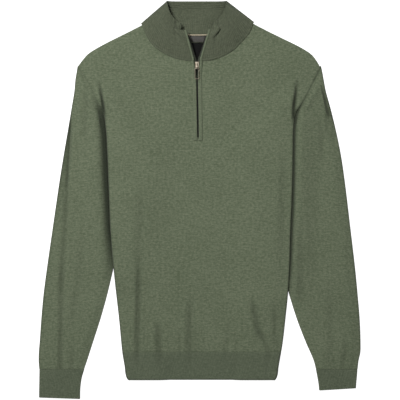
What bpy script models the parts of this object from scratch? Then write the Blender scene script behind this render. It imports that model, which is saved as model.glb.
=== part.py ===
"""A fine-knit quarter zip sweater, laid on its back with its sides and underarms tucked under.

The collar points along +Y, the front faces +Z, and the back rests on the plane z = 0.
Every piece that a maker would cut and sew is one solid, with about 0.3 mm at each seam.
Sizes below are in millimetres, and the meshes are made in metres.
"""

import math

import bmesh
import bpy
import numpy as np
from mathutils import Vector

MM = 0.001

# Cloth
KNIT = 1.6  # wall of the plain knit
RIB = 2.0  # wall of the hem and cuff ribs
COLLAR_WALL = 3.2  # the collar is a doubled rib band
SEAM = 0.3  # between two pieces that are sewn together
LAYER_GAP = 0.45  # between two layers that are folded on each other
TUBE_GAP = 1.0  # inside a sleeve, where the body lies on it
SLEEVE_COVER = 2 * KNIT + TUBE_GAP + 0.8  # height that the body takes where a sleeve runs under it
PILLOW = 2.6  # how far the front stands off the back, away from its folds
SLEEVE_PILLOW = 2.2  # the same for a sleeve
NECK_LIFT = 3.0  # the collar lifts the front panel round the zip

# Side fold: both panels turn round one centre line
FRONT_RADIUS = 3 * (KNIT + LAYER_GAP) / 2
BACK_RADIUS = (KNIT + LAYER_GAP) / 2
FOLD_CENTRE = FRONT_RADIUS + KNIT / 2  # inside the body's edge
SETTLE_TOP = 240.0  # above this the shoulder lies flat
COVER_START = {"left": -150.0, "right": -192.0}  # the body lies on the sleeve above this

# Heights along the garment
HEM_BOTTOM = -359.6
HEM_TOP = -304.0
SLIT_BOTTOM = 123.0
ARMHOLE_FOOT = 99.0  # underarm point, where side seam and sleeve seam meet
TUCK_TOP = 175.0  # the tucked side opens out here, into the shoulder
COLLAR_FOOT = 278.0  # neck seam at the zip

# Zip
ZIP_FOOT_X = -3.0
ZIP_NECK_X = -5.0
SLIT_HALF = 5.0
HINGE = (-5.0, 263.0, 14.6)  # the pull's bar under the slider's bridge
SLIDER_WIDTH = 8.0
SLIDER_LENGTH = 15.0
SLIDER_HEIGHT = 4.2
SLIDER_TAPER = 0.78
BRIDGE_WIRE = 0.7
PULL_BAR = 0.8
PULL_WIDTH = 9.6
PULL_LENGTH = 22.0
PULL_TILT = 0.10  # radians below level, as it lies on the zip's edging
WELT_WIDE = 7.4
WELT_NARROW = 4.2
WELT_THICK = 1.6
TAPE_THICK = 0.8

# Side edge of the body: a fold up to the tuck's top, then the armhole seam up to the shoulder tip.
SIDE_COLUMNS = ("y", "left", "right")
BODY_SIDE = (
    (-359.6, -144.8, 153.4),
    (-331.0, -150.0, 158.6),
    (-304.0, -154.5, 163.4),
    (-285.0, -156.5, 166.5),
    (-237.0, -161.0, 172.0),
    (-189.0, -166.5, 176.5),
    (-135.0, -171.8, 180.0),
    (-61.0, -178.0, 182.2),
    (-7.0, -180.2, 184.6),
    (47.0, -182.4, 186.2),
    (101.0, -184.6, 188.0),
    (150.0, -188.0, 191.0),
    (175.0, -192.5, 193.5),
    (203.0, -206.0, 209.5),
    (231.0, -219.0, 224.5),
    (262.0, -239.5, 240.5),
)
# Hidden inner edge of the sleeve under the body, and how far the tucked side reaches in.
TUCK_COLUMNS = ("y", "sleeve_left", "sleeve_right", "flap_left", "flap_right")
TUCK = (
    (-304.0, -8.0, -8.0, 54.0, 56.0),
    (-176.0, -8.0, 0.0, 62.0, 66.0),
    (-135.0, 0.0, 10.0, 66.0, 70.0),
    (-20.0, 34.0, 44.0, 73.0, 79.0),
    (99.0, 72.0, 84.0, 77.0, 88.0),
    (137.0, 37.0, 43.0, 43.0, 48.0),
    (175.0, -4.0, -4.0, 15.0, 15.0),
    (262.0, -4.0, -4.0, 15.0, 15.0),
)
# Half width of the front between the lines that carry its side folds on into the shoulders.
CREASE_COLUMNS = ("y", "half")
CREASE = ((150.0, 188.0), (185.0, 192.5), (235.0, 199.0))
CREASE_TOP = 245.0
CREASE_DROP = 3.4
CREASE_RIDGE = 1.0
# Outer edges of the sleeves, and their inner edges where they lie clear of the body.
SLEEVE_COLUMNS = ("y", "left_outer", "right_outer")
SLEEVE_OUTER = (
    (-338.0, -320.8, 316.5),
    (-321.0, -322.0, 318.5),
    (-305.0, -321.6, 322.0),
    (-285.0, -320.0, 322.4),
    (-237.0, -316.6, 320.6),
    (-189.0, -312.2, 316.6),
    (-141.0, -306.0, 312.0),
    (-57.0, -294.0, 302.2),
    (39.0, -280.0, 290.6),
    (87.0, -272.4, 283.6),
    (135.0, -264.2, 274.0),
    (183.0, -256.2, 262.4),
    (219.0, -250.4, 252.6),
    (243.0, -248.2, 248.2),
    (258.0, -245.5, 245.4),
)
INNER_COLUMNS = ("y", "left_inner", "right_inner")
SLEEVE_INNER = (
    (-338.0, -230.8, 233.0),
    (-321.0, -225.0, 228.5),
    (-285.0, -213.4, 213.0),
    (-237.0, -198.0, 194.5),
    (-189.0, -184.6, 179.5),
    (-135.0, -171.8, 165.0),
    (-20.0, -145.6, 138.0),
    (99.0, -112.6, 104.0),
)
# Shoulder and neck, from the shoulder tip to the zip.
NECK_COLUMNS = ("x", "y", "front_height")
LEFT_TOP = (
    (-240.5, 268.0, 2.75),
    (-236.5, 279.5, 2.75),
    (-224.0, 291.0, 2.75),
    (-206.0, 303.0, 2.75),
    (-160.0, 327.0, 2.75),
    (-114.2, 349.5, 6.2),
    (-106.5, 331.0, 6.4),
    (-97.0, 314.5, 6.6),
    (-80.0, 299.0, 6.9),
    (-52.0, 285.0, 7.8),
    (-27.0, 279.3, 8.4),
    (-10.0, 278.0, 8.6),
)
RIGHT_TOP = (
    (241.5, 266.0, 2.75),
    (236.0, 279.5, 2.75),
    (224.0, 291.0, 2.75),
    (206.0, 303.0, 2.75),
    (158.0, 327.0, 2.75),
    (106.4, 352.5, 6.2),
    (98.5, 334.0, 6.4),
    (83.5, 317.0, 6.6),
    (64.5, 298.5, 6.9),
    (42.0, 286.0, 7.8),
    (20.0, 279.5, 8.4),
    (0.0, 278.0, 8.6),
)
NOTCH = 5  # the row of the two tables above where the shoulder meets the neck
BACK_NECK = ((-62.0, 337.6), (-3.0, 333.0), (56.0, 338.4))  # seam of the back, between the notches

# Collar: top edge of each section. seam counts along the neck from the left zip edge: 1 is the left
# notch, 2 the right notch and 3 the right zip edge.
COLLAR_COLUMNS = ("seam", "top_x", "top_y", "top_z", "belly")
COLLAR_SECTIONS = (
    (0.00, -27.0, 338.4, 21.0, 1.0),
    (0.06, -36.5, 339.4, 25.0, 1.6),
    (0.13, -44.0, 342.0, 26.0, 2.4),
    (0.22, -43.0, 350.0, 21.0, 2.8),
    (0.36, -48.6, 360.0, 19.5, 4.0),
    (0.56, -58.0, 371.5, 22.0, 4.6),
    (0.78, -61.6, 382.0, 21.5, 3.6),
    (0.90, -63.2, 387.5, 19.8, 2.4),
    (0.98, -63.8, 391.5, 16.6, 1.2),
    (1.00, -64.4, 395.2, 11.0, 0.4),
    (1.02, -61.4, 397.2, 5.0, 0.0),
    (1.10, -52.0, 397.5, 3.2, 0.0),
    (1.25, -36.0, 397.6, 2.4, 0.0),
    (1.50, -5.0, 397.6, 1.7, 0.0),
    (1.75, 26.0, 397.6, 2.4, 0.0),
    (1.90, 42.0, 397.5, 3.2, 0.0),
    (1.98, 51.2, 397.2, 5.0, 0.0),
    (2.00, 54.0, 395.2, 11.0, 0.4),
    (2.02, 53.4, 391.5, 16.6, 1.2),
    (2.10, 52.8, 387.5, 19.8, 2.4),
    (2.22, 51.0, 382.0, 21.5, 3.6),
    (2.44, 47.2, 371.5, 22.0, 4.6),
    (2.64, 36.0, 357.0, 19.5, 4.0),
    (2.78, 33.5, 351.0, 21.0, 2.8),
    (2.87, 33.0, 345.0, 24.0, 2.4),
    (2.94, 27.0, 341.6, 23.4, 1.6),
    (3.00, 19.2, 339.6, 21.0, 1.0),
)
NOTCH_STEP = 0.02  # seam number between a notch and the panel's edges beside it
NOTCH_RADIUS = 2.9  # the collar's foot rounds the shoulder's end
NOTCH_HEIGHT = 4.4
COLLAR_STEPS = 2  # columns to a section
COLLAR_ROWS = 6

# Folds of the front: soft troughs between two ends, with what each loses at its upper end.
FOLD_COLUMNS = ("x_low", "y_low", "x_high", "y_high", "half_width", "depth", "raised")
BODY_FOLDS = (
    (-125.0, -304.0, -121.0, -150.0, 5.0, 2.4, 0.7),
    (-121.0, -150.0, -116.0, 20.0, 8.0, 1.0, 0.3),
    (-80.0, -304.0, -83.0, -248.0, 6.5, 2.0, 0.6),
    (-21.0, -304.0, -18.0, -205.0, 7.0, 1.8, 0.5),
    (116.0, -304.0, 111.0, -205.0, 7.0, 2.0, 0.6),
    (156.0, -304.0, 150.0, -215.0, 6.0, 1.2, 0.4),
    (166.0, -90.0, 168.0, 90.0, 7.0, 0.9, 0.3),
)
SLEEVE_FOLDS = {
    "left": (
        (-278.6, -338.0, -276.0, -150.0, 4.5, 1.9, 0.6),
        (-276.0, -150.0, -264.0, 60.0, 5.5, 1.5, 0.5),
        (-252.0, -230.0, -234.0, -80.0, 7.0, 1.1, 0.3),
        (-256.0, -338.0, -252.0, -296.0, 5.0, 1.3, 0.4),
    ),
    "right": (
        (202.0, -190.0, 199.0, -50.0, 8.0, 1.4, 0.4),
        (290.0, -326.0, 294.0, -280.0, 5.0, 1.3, 0.4),
        (262.0, -320.0, 262.0, -180.0, 8.0, 0.8, 0.3),
        (244.0, 165.0, 249.0, 220.0, 5.0, 1.2, 0.5),
    ),
}

# Cuffs: upper and lower edge, each from the inner to the outer end.
CUFF_COLUMNS = ("inner_x", "outer_x", "inner_y", "outer_y")
CUFFS = {
    "left": (
        (-230.4, -320.4, -338.3, -338.3),
        (-235.6, -320.6, -356.0, -356.0),
        (-238.4, -321.0, -377.0, -376.0),
        (-238.8, -321.2, -398.0, -395.2),
    ),
    "right": (
        (232.8, 316.2, -338.3, -338.3),
        (235.4, 315.2, -352.0, -352.0),
        (238.0, 314.0, -367.0, -365.0),
        (239.4, 313.2, -381.0, -376.6),
    ),
}

COLOURS = {
    "knit": ((0.128, 0.157, 0.095, 1.0), 0.9, 0.0),
    "rib": ((0.100, 0.120, 0.074, 1.0), 0.9, 0.0),
    "satin": ((0.060, 0.058, 0.052, 1.0), 0.5, 0.0),
    "piping": ((0.42, 0.37, 0.27, 1.0), 0.7, 0.0),
    "label": ((0.006, 0.006, 0.006, 1.0), 0.5, 0.0),
    "tape": ((0.020, 0.022, 0.014, 1.0), 0.8, 0.0),
    "metal": ((0.30, 0.26, 0.20, 1.0), 0.35, 1.0),
}


# --- Small maths ---------------------------------------------------------------------------


def smooth(t):
    """A smooth step from 0 to 1."""
    t = min(1.0, max(0.0, t))
    return t * t * (3 - 2 * t)


def curve_at(keys, values, t):
    """A cubic through the values, which keeps between its neighbours' slopes."""
    t = min(max(t, keys[0]), keys[-1])
    i = min(int(np.searchsorted(keys, t, side="right")) - 1, len(keys) - 2)
    slopes = [
        (values[j + 1] - values[j]) / (keys[j + 1] - keys[j]) for j in range(len(keys) - 1)
    ]

    def tangent(j):
        if j in (0, len(keys) - 1):
            return slopes[0 if j == 0 else -1]
        return (slopes[j - 1] + slopes[j]) / 2

    span = keys[i + 1] - keys[i]
    f = (t - keys[i]) / span
    a, b = values[i], values[i + 1]
    ta, tb = tangent(i) * span, tangent(i + 1) * span
    return (
        a * (2 * f**3 - 3 * f**2 + 1)
        + ta * (f**3 - 2 * f**2 + f)
        + b * (3 * f**2 - 2 * f**3)
        + tb * (f**3 - f**2)
    )


def column(table, names, name):
    """One named column of a table."""
    return [row[names.index(name)] for row in table]


def table_at(table, names, name, y):
    """A named column of a table at height y."""
    return curve_at(column(table, names, "y"), column(table, names, name), y)


def tuck_at(name, y):
    """A named column of the tuck's table at height y, straight between its rows."""
    return float(np.interp(y, column(TUCK, TUCK_COLUMNS, "y"), column(TUCK, TUCK_COLUMNS, name)))


def along(points, f):
    """The point at the share f of a polyline's length."""
    points = [np.array(p, float) for p in points]
    steps = [float(np.linalg.norm((b - a)[:2])) for a, b in zip(points, points[1:])]
    left = f * sum(steps)
    for a, b, step in zip(points, points[1:], steps):
        if left <= step or b is points[-1]:
            return a + (b - a) * min(1.0, left / step)
        left -= step
    return points[-1]


def fold_height(folds, x, y):
    """What the folds add to a surface at a place: troughs with softly raised sides."""
    total = 0.0
    for x_low, y_low, x_high, y_high, half_width, depth, raised in folds:
        f = (y - y_low) / (y_high - y_low)
        if f < -0.25 or f > 1.25:
            continue
        ends = smooth((f + 0.25) / 0.25) * smooth((1.25 - f) / 0.5)
        off = (x - (x_low + (x_high - x_low) * f)) / half_width
        total += ends * (raised * math.exp(-((abs(off) - 1.9) ** 2)) - depth * math.exp(-off * off))
    return total


# --- The body's layers -----------------------------------------------------------------------


def side_x(side, y):
    """The body's edge on one side."""
    return table_at(BODY_SIDE, SIDE_COLUMNS, side, y)


def inward(side, x, y):
    """How far a place lies inside the body's edge."""
    return x - side_x(side, y) if side == "left" else side_x(side, y) - x


def sleeve_height(side, x, y):
    """Height that the sleeve under the body gives the layers above it."""
    d = inward(side, x, y)
    reach = tuck_at("sleeve_" + side, y)
    rise = smooth((SETTLE_TOP - y) / 42.0) * smooth((y - COVER_START[side] + 50.0) / 50.0)
    return SLEEVE_COVER * rise * (1 - smooth((d - reach - 11.0) / 24.0))


def flap_height(side, x, y):
    """Height that the tucked side's two layers give the layers above them."""
    d = inward(side, x, y)
    reach = tuck_at("flap_" + side, y)
    rise = smooth((SETTLE_TOP - y) / 42.0)
    return 2 * (KNIT + LAYER_GAP) * rise * (1 - smooth((d - reach - 3.0) / 26.0))


def back_height(x, y):
    """Middle of the back panel's wall."""
    side = "left" if x < ZIP_FOOT_X else "right"
    return KNIT / 2 + sleeve_height(side, x, y) + flap_height(side, x, y)


def crease_step(x, y):
    """The front drops softly outside the line that carries the side fold on into the shoulder."""
    crease = curve_at(column(CREASE, CREASE_COLUMNS, "y"), column(CREASE, CREASE_COLUMNS, "half"), y)
    out = abs(x - ZIP_FOOT_X) - crease + (5.0 if x > ZIP_FOOT_X else -1.0)
    near = smooth((CREASE_TOP - y) / 50.0)
    ridge = CREASE_RIDGE * math.exp(-(((out + 8) / 7) ** 2))
    return near * (ridge - CREASE_DROP * smooth((out + 2.0) / 9.0))


def front_height(x, y):
    """Middle of the front panel's wall."""
    side = "left" if x < ZIP_FOOT_X else "right"
    d = inward(side, x, y)
    hem = 0.4 + 0.6 * smooth((y - HEM_TOP) / 50.0)
    gap = LAYER_GAP + PILLOW * hem * smooth(d / 36.0)
    lift = NECK_LIFT * math.exp(-(((x + 4) / 62.0) ** 2) - ((y - 285.0) / 48.0) ** 2)
    folds = fold_height(BODY_FOLDS, x, y) * smooth(d / 14.0)
    step = crease_step(x, y) * smooth((y - TUCK_TOP) / 15.0)
    low = back_height(x, y) + KNIT
    return low + max(LAYER_GAP, gap + folds + lift + step)


def run_places(side, y):
    """Distances from the edge where the tucked layers are sampled, from their inner end out."""
    reach = tuck_at("flap_" + side, y)
    under = tuck_at("sleeve_" + side, y)
    far = min(max(under + 32.0, 0.6 * reach), 0.86 * reach)
    near = max(min(max(under + 8.0, 0.25 * reach), 0.66 * far), FOLD_CENTRE + 2.5)
    return (reach, far, near)


def seam_start(y):
    """Distance from the body's edge where a panel's top run begins: at its fold, or at the seam."""
    return FOLD_CENTRE + (SEAM - FOLD_CENTRE) * smooth((y - TUCK_TOP) / 20.0)


def edge_section(side, y, radius, level, height, turn_points):
    """One layer's tucked stretch: from its hidden end under the fold round to its top run.

    level is the height of the hidden run over what lies under it, and height gives the top run.
    """
    edge = side_x(side, y)
    sign = 1.0 if side == "left" else -1.0
    top = height(edge + sign * FOLD_CENTRE, y)
    points = []
    for d in run_places(side, y):
        points.append((edge + sign * d, y, sleeve_height(side, edge + sign * d, y) + level))
    for k in range(turn_points, -1, -1):
        a = math.pi * k / turn_points
        across = FOLD_CENTRE - radius * math.sin(a)
        points.append((edge + sign * across, y, top - radius * (1 - math.cos(a))))
    return points


def front_edge(side, y):
    """The front panel's edge stretch."""
    return edge_section(side, y, FRONT_RADIUS, KNIT / 2, front_height, 5)


def back_edge(side, y):
    """The back panel's edge stretch, inside the front's."""
    level = KNIT / 2 + KNIT + LAYER_GAP
    return edge_section(side, y, BACK_RADIUS, level, back_height, 4)


# --- Meshes ----------------------------------------------------------------------------------


def material(slot):
    """The material of one kind of cloth or metal."""
    if slot in bpy.data.materials:
        return bpy.data.materials[slot]
    colour, roughness, metallic = COLOURS[slot]
    made = bpy.data.materials.new(slot)
    made.use_nodes = True
    shader = made.node_tree.nodes["Principled BSDF"]
    shader.inputs["Base Color"].default_value = colour
    shader.inputs["Roughness"].default_value = roughness
    shader.inputs["Metallic"].default_value = metallic
    return made


def finish(collection, name, mesh, slot):
    """An object of a mesh, in the garment's collection, with its material."""
    made = bpy.data.objects.new(name, mesh)
    collection.objects.link(made)
    mesh.materials.append(material(slot))
    mesh.shade_smooth()
    mesh.set_sharp_from_angle(angle=math.radians(50))
    return made


def cloth(collection, name, grids, wall, slot, ring=False):
    """A wall of cloth: grids of points in millimetres, joined where they meet, thickened both ways.

    grids holds pairs of rows and whether that grid's faces are turned over.
    """
    bm = bmesh.new()
    for rows, turned in grids:
        made = [[bm.verts.new(Vector(p) * MM) for p in row] for row in rows]
        for low, high in zip(made, made[1:]):
            count = len(low)
            for i in range(count if ring else count - 1):
                j = (i + 1) % count
                corners = (low[i], low[j], high[j], high[i])
                bm.faces.new(corners[::-1] if turned else corners)
    bmesh.ops.remove_doubles(bm, verts=bm.verts, dist=0.00002)
    mesh = bpy.data.meshes.new(name)
    bm.to_mesh(mesh)
    bm.free()
    made = finish(collection, name, mesh, slot)
    shell = made.modifiers.new("wall", "SOLIDIFY")
    shell.thickness = wall * MM
    shell.offset = 0.0
    shell.use_even_offset = False
    return made


def slab(collection, name, lower, upper, slot):
    """A closed strip between two grids of points of equal size."""
    bm = bmesh.new()
    low = [[bm.verts.new(Vector(p) * MM) for p in row] for row in lower]
    high = [[bm.verts.new(Vector(p) * MM) for p in row] for row in upper]
    rows, columns = len(low), len(low[0])
    for r in range(rows - 1):
        for c in range(columns - 1):
            bm.faces.new((low[r][c], low[r + 1][c], low[r + 1][c + 1], low[r][c + 1]))
            bm.faces.new((high[r][c], high[r][c + 1], high[r + 1][c + 1], high[r + 1][c]))
    for r in range(rows - 1):
        bm.faces.new((low[r][0], high[r][0], high[r + 1][0], low[r + 1][0]))
        bm.faces.new((low[r][-1], low[r + 1][-1], high[r + 1][-1], high[r][-1]))
    for c in range(columns - 1):
        bm.faces.new((low[0][c], low[0][c + 1], high[0][c + 1], high[0][c]))
        bm.faces.new((low[-1][c], high[-1][c], high[-1][c + 1], low[-1][c + 1]))
    bmesh.ops.recalc_face_normals(bm, faces=bm.faces)
    mesh = bpy.data.meshes.new(name)
    bm.to_mesh(mesh)
    bm.free()
    return finish(collection, name, mesh, slot)


# --- Body ------------------------------------------------------------------------------------

PATCH_BOTTOM = 182.0  # rows are straight below this, and bend to the shoulder above it
LOWER_ROWS = (
    -303.7, -292.0, -275.0, -250.0, -222.0, -200.0, -178.0, -156.0, -110.0, -60.0, 0.0, 50.0, 80.0,
    99.0, 111.0, 123.0, 139.0, 157.0, 175.0,
)
UPPER_SHARES = (0.0, 0.12, 0.24, 0.38, 0.53, 0.7, 0.88, 0.96, 1.0)
# Places of the front's columns at the hem, dense where its folds are.
HEM_LEFT = (-150, -141, -133, -125, -117, -107, -95, -87, -80, -73, -60, -44, -30, -21, -13)
HEM_RIGHT = (12, 32, 56, 82, 92, 102, 110, 116, 122, 132, 145, 151, 156, 160)
NECK_SEGMENTS = 8  # the last columns of each half end along the neck


def zip_x(y):
    """The zip's centre line."""
    return ZIP_FOOT_X + (ZIP_NECK_X - ZIP_FOOT_X) * smooth((y - SLIT_BOTTOM) / 150.0)


def slit_edge(side, y):
    """The front panel's edge along the zip."""
    sign = -1.0 if side == "left" else 1.0
    return zip_x(y) + sign * SLIT_HALF * smooth((y - SLIT_BOTTOM + 1.0) / 12.0)


def edge_height(side, share):
    """Height along the body's edge at a share of the way from the patch's foot to the shoulder."""
    tip = (LEFT_TOP if side == "left" else RIGHT_TOP)[0][1]
    return PATCH_BOTTOM + (tip - PATCH_BOTTOM) * share


def flat(x, y):
    """A place on the plan."""
    return np.array((x, y), float)


def top_line(side, neck):
    """A panel's upper edge on one side: the shoulder's points, then the neck's."""
    table = LEFT_TOP if side == "left" else RIGHT_TOP
    sign = 1.0 if side == "left" else -1.0
    shoulder = [flat(*row[:2]) for row in table[: NOTCH + 1]]
    y = shoulder[0][1]
    shoulder[0] = flat(side_x(side, y) + sign * seam_start(y), y)
    shoulder[1] = shoulder[1] + flat(sign * 2.5, 0.0)
    return shoulder, neck


def half_patch(side, share, columns, segments, lines, inner):
    """The plan of one half row between the patch's foot and the shoulder.

    The last columns, one for each of the segments, end along the neck, and the others along the
    shoulder. inner gives the half's inner edge at a share of its height.
    """
    sign = 1.0 if side == "left" else -1.0
    shoulder, neck = lines
    split = len(columns) - segments - 1

    def outer(s):
        y = edge_height(side, s)
        return flat(side_x(side, y) + sign * seam_start(y), y)

    def top(index):
        if index <= split:
            return along(shoulder, columns[index] / columns[split])
        return along(neck, (index - split) / segments)

    points = []
    for index, u in enumerate(columns):
        bottom = (1 - u) * outer(0.0) + u * inner(0.0)
        across = (1 - share) * bottom + share * top(index)
        up = (1 - u) * outer(share) + u * inner(share)
        corners = (1 - u) * (1 - share) * outer(0.0) + u * (1 - share) * inner(0.0)
        corners = corners + (1 - u) * share * top(0) + u * share * top(len(columns) - 1)
        points.append(across + up - corners)
    return points


def front_neck(side):
    """The front's neck line, from the notch to the zip."""
    table = LEFT_TOP if side == "left" else RIGHT_TOP
    return [flat(*row[:2]) for row in table[NOTCH:]]


def front_columns(side):
    """Shares of the way from the side fold to the zip, for the columns of one half."""
    edge = side_x(side, HEM_TOP)
    places = HEM_LEFT if side == "left" else HEM_RIGHT[::-1]
    return [0.0] + [(x - edge) / (zip_x(HEM_TOP) - edge) for x in places] + [1.0]


def edge_drop(side, index, columns):
    """Height of the front's upper edge at one of its columns."""
    table = LEFT_TOP if side == "left" else RIGHT_TOP
    heights = column(table, NECK_COLUMNS, "front_height")
    split = len(columns) - NECK_SEGMENTS - 1
    if index <= split:
        f = columns[index] / columns[split]
        return heights[0] if f < 0.8 else heights[0] + (heights[NOTCH] - heights[0]) * (5 * f - 4)
    f = (index - split) / NECK_SEGMENTS
    steps = len(heights) - NOTCH - 1
    return float(np.interp(f * steps, range(steps + 1), heights[NOTCH:]))


def front_half(side, share):
    """One half of a front row above the patch's foot, from the armhole seam to the zip."""
    columns = front_columns(side)
    neck = front_neck(side)

    def inner(s):
        y = PATCH_BOTTOM + (COLLAR_FOOT - PATCH_BOTTOM) * s
        return flat(slit_edge(side, y) + (neck[-1][0] - slit_edge(side, y)) * smooth(2 * s - 1), y)

    lines = top_line(side, neck)
    plan = half_patch(side, share, columns, NECK_SEGMENTS, lines, inner)
    settle = smooth((share - 0.88) / 0.12)
    points = []
    for index, (x, y) in enumerate(plan):
        z = front_height(x, y)
        points.append((x, y, z + (edge_drop(side, index, columns) - z) * settle))
    return points


def front_lower(side, y):
    """One half of a straight front row, from the top of its turn to the zip."""
    start = side_x(side, y) + (FOLD_CENTRE if side == "left" else -FOLD_CENTRE)
    xs = [start + (slit_edge(side, y) - start) * u for u in front_columns(side)]
    return [(x, y, front_height(x, y)) for x in xs]


def make_front(collection):
    """The front panel: one wall, with its side allowances tucked under and a slit for the zip."""
    grids = []
    for side in ("left", "right"):
        rows = [front_lower(side, y) for y in LOWER_ROWS]
        rows += [front_half(side, share) for share in UPPER_SHARES]
        grids.append((rows, side == "right"))
        grids.append(([front_edge(side, y) for y in LOWER_ROWS], side == "right"))
    return cloth(collection, "front_panel", grids, KNIT, "knit")


BACK_SHARES = (0.0, 0.12, 0.24, 0.38, 0.53, 0.7, 0.88, 1.0)
BACK_NECK_SEGMENTS = 4


def back_columns(side, y):
    """Shares of the way from the side fold to the middle, set by the tucked side's reach."""
    reach, far, near = run_places(side, min(y, TUCK_TOP))
    half = abs(side_x(side, y) - ZIP_FOOT_X) - FOLD_CENTRE
    places = (near, far, reach + 2.0, reach + 11.0, reach + 20.0, reach + 30.0)
    inner = [(d - FOLD_CENTRE) / half for d in places]
    last = inner[-1]
    return [0.0] + inner + [last + (1 - last) * 0.5, 1.0]


def back_neck(side):
    """The back's neck line, from the notch to the middle."""
    notch = flat(*(LEFT_TOP if side == "left" else RIGHT_TOP)[NOTCH][:2])
    return [notch, flat(*BACK_NECK[0 if side == "left" else -1]), flat(*BACK_NECK[1])]


def back_half(side, share):
    """One half of a back row above the patch's foot, from the armhole seam to the middle."""

    def inner(s):
        return flat(ZIP_FOOT_X, PATCH_BOTTOM + (BACK_NECK[1][1] - PATCH_BOTTOM) * s)

    columns = back_columns(side, edge_height(side, share))
    lines = top_line(side, back_neck(side))
    plan = half_patch(side, share, columns, BACK_NECK_SEGMENTS, lines, inner)
    return [(x, y, back_height(x, y)) for x, y in plan]


def back_lower(side, y):
    """One half of a straight back row, from the top of its turn to the middle."""
    start = side_x(side, y) + (FOLD_CENTRE if side == "left" else -FOLD_CENTRE)
    xs = [start + (ZIP_FOOT_X - start) * u for u in back_columns(side, y)]
    return [(x, y, back_height(x, y)) for x in xs]


def make_back(collection):
    """The back panel: it rests on the plane and folds inside the front at each side."""
    grids = []
    for side in ("left", "right"):
        rows = [back_lower(side, y) for y in LOWER_ROWS]
        rows += [back_half(side, share) for share in BACK_SHARES]
        grids.append((rows, side == "right"))
        grids.append(([back_edge(side, y) for y in LOWER_ROWS], side == "right"))
    return cloth(collection, "back_panel", grids, KNIT, "knit")


# --- Sleeves, cuffs and hem --------------------------------------------------------------------

SLEEVE_ROWS = {
    "left": (-338.0, -326.0, -308.0, -285.0, -240.0, -190.0, -150.0, -95.0, -30.0, 40.0, 98.0,
             118.0, 137.0, 156.0, 168.0, 176.0, 184.0, 192.0, 202.0, 218.0, 236.0, 256.0),
    "right": (-338.0, -328.0, -308.0, -285.0, -240.0, -190.0, -150.0, -95.0, -30.0, 40.0, 98.0,
              118.0, 137.0, 156.0, 168.0, 176.0, 184.0, 192.0, 202.0, 218.0, 236.0, 256.0),
}
TOP_SHARES = (0.0, 0.05, 0.14, 0.23, 0.33, 0.43, 0.53, 0.63, 0.73, 0.85)
LOW_SHARES = (0.85, 0.6, 0.35, 0.15, 0.05, 0.0)
SLEEVE_FOLD_RADIUS = (KNIT + TUBE_GAP) / 2 + 0.2


def sleeve_inner(side, y):
    """The sleeve's inner edge: its own fold, or the armhole seam above the underarm."""
    if y < ARMHOLE_FOOT:
        return table_at(SLEEVE_INNER, INNER_COLUMNS, side + "_inner", y)
    sign = 1.0 if side == "left" else -1.0
    if y < TUCK_TOP:
        under = tuck_at("sleeve_" + side, y)
        return side_x(side, y) + sign * max(under, -SEAM)
    return side_x(side, y) - sign * SEAM


def sleeve_top(side, x, y):
    """Middle of the sleeve's upper wall."""
    sign = 1.0 if side == "left" else -1.0
    outer = table_at(SLEEVE_OUTER, SLEEVE_COLUMNS, side + "_outer", y)
    from_outer = sign * (x - outer)
    low = KNIT / 2 + KNIT + TUBE_GAP
    covered = inward(side, x, y)
    clear = smooth((-covered - 1.0) / 16.0)
    from_inner = sign * (sleeve_inner(side, y) - x)
    if y > TUCK_TOP - 15:
        share = smooth((y - TUCK_TOP - 1.0) / 20.0)
        edge = side_x(side, y)
        seam = front_height(edge + sign * SEAM, y)
        near = 1 - smooth(from_inner / 30.0)
        rise = SLEEVE_PILLOW * smooth(from_outer / 22.0) * clear
        flush = low + rise + (seam - low) * near
        return (1 - share) * (low + rise) + share * flush
    body = smooth(from_inner / 20.0) if y < -135.0 else 1.0
    hem = 0.35 + 0.65 * smooth((y + 338.0) / 40.0)
    folds = fold_height(SLEEVE_FOLDS[side], x, y) * clear * smooth(from_outer / 12.0)
    return low + max(-0.5, SLEEVE_PILLOW * hem * smooth(from_outer / 22.0) * clear * body + folds)


def sleeve_low(side, x, y):
    """Middle of the sleeve's lower wall: on the plane, but for the stretch that meets the back."""
    sign = 1.0 if side == "left" else -1.0
    share = smooth((y - TUCK_TOP - 1.0) / 20.0)
    near = 1 - smooth(sign * (sleeve_inner(side, y) - x) / 30.0)
    seam = back_height(side_x(side, y) + sign * SEAM, y)
    return KNIT / 2 + (seam - KNIT / 2) * near * share


def make_sleeve(collection, side):
    """A sleeve: a flattened tube, cut aslant along the armhole at its upper end."""
    sign = 1.0 if side == "left" else -1.0
    radius = SLEEVE_FOLD_RADIUS
    margin = KNIT / 2 + radius
    rows, fold = [], []
    for y in SLEEVE_ROWS[side]:
        outer = table_at(SLEEVE_OUTER, SLEEVE_COLUMNS, side + "_outer", y)
        centre_out = outer + sign * margin
        start = sleeve_inner(side, y) - sign * (margin if y < ARMHOLE_FOOT else 0.0)
        across = centre_out - start
        points = []
        for share in TOP_SHARES:
            points.append((start + across * share, y, sleeve_top(side, start + across * share, y)))
        top_out = sleeve_top(side, centre_out, y)
        low_out = sleeve_low(side, centre_out, y)
        half = (top_out - low_out) / 2
        for k in range(5):
            a = math.pi * k / 4
            x = centre_out - sign * radius * math.sin(a)
            points.append((x, y, low_out + half + half * math.cos(a)))
        for share in LOW_SHARES:
            points.append((start + across * share, y, sleeve_low(side, start + across * share, y)))
        rows.append(points)
        if y < ARMHOLE_FOOT:
            top, low = points[0][2], points[-1][2]
            half = (top - low) / 2
            arc = [(start + sign * radius * math.sin(math.pi * k / 5), y,
                    low + half - half * math.cos(math.pi * k / 5)) for k in range(6)]
            fold.append(arc)
    grids = [(rows, side == "right"), (fold, side == "right")]
    return cloth(collection, "sleeve_" + side, grids, KNIT, "knit")


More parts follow.
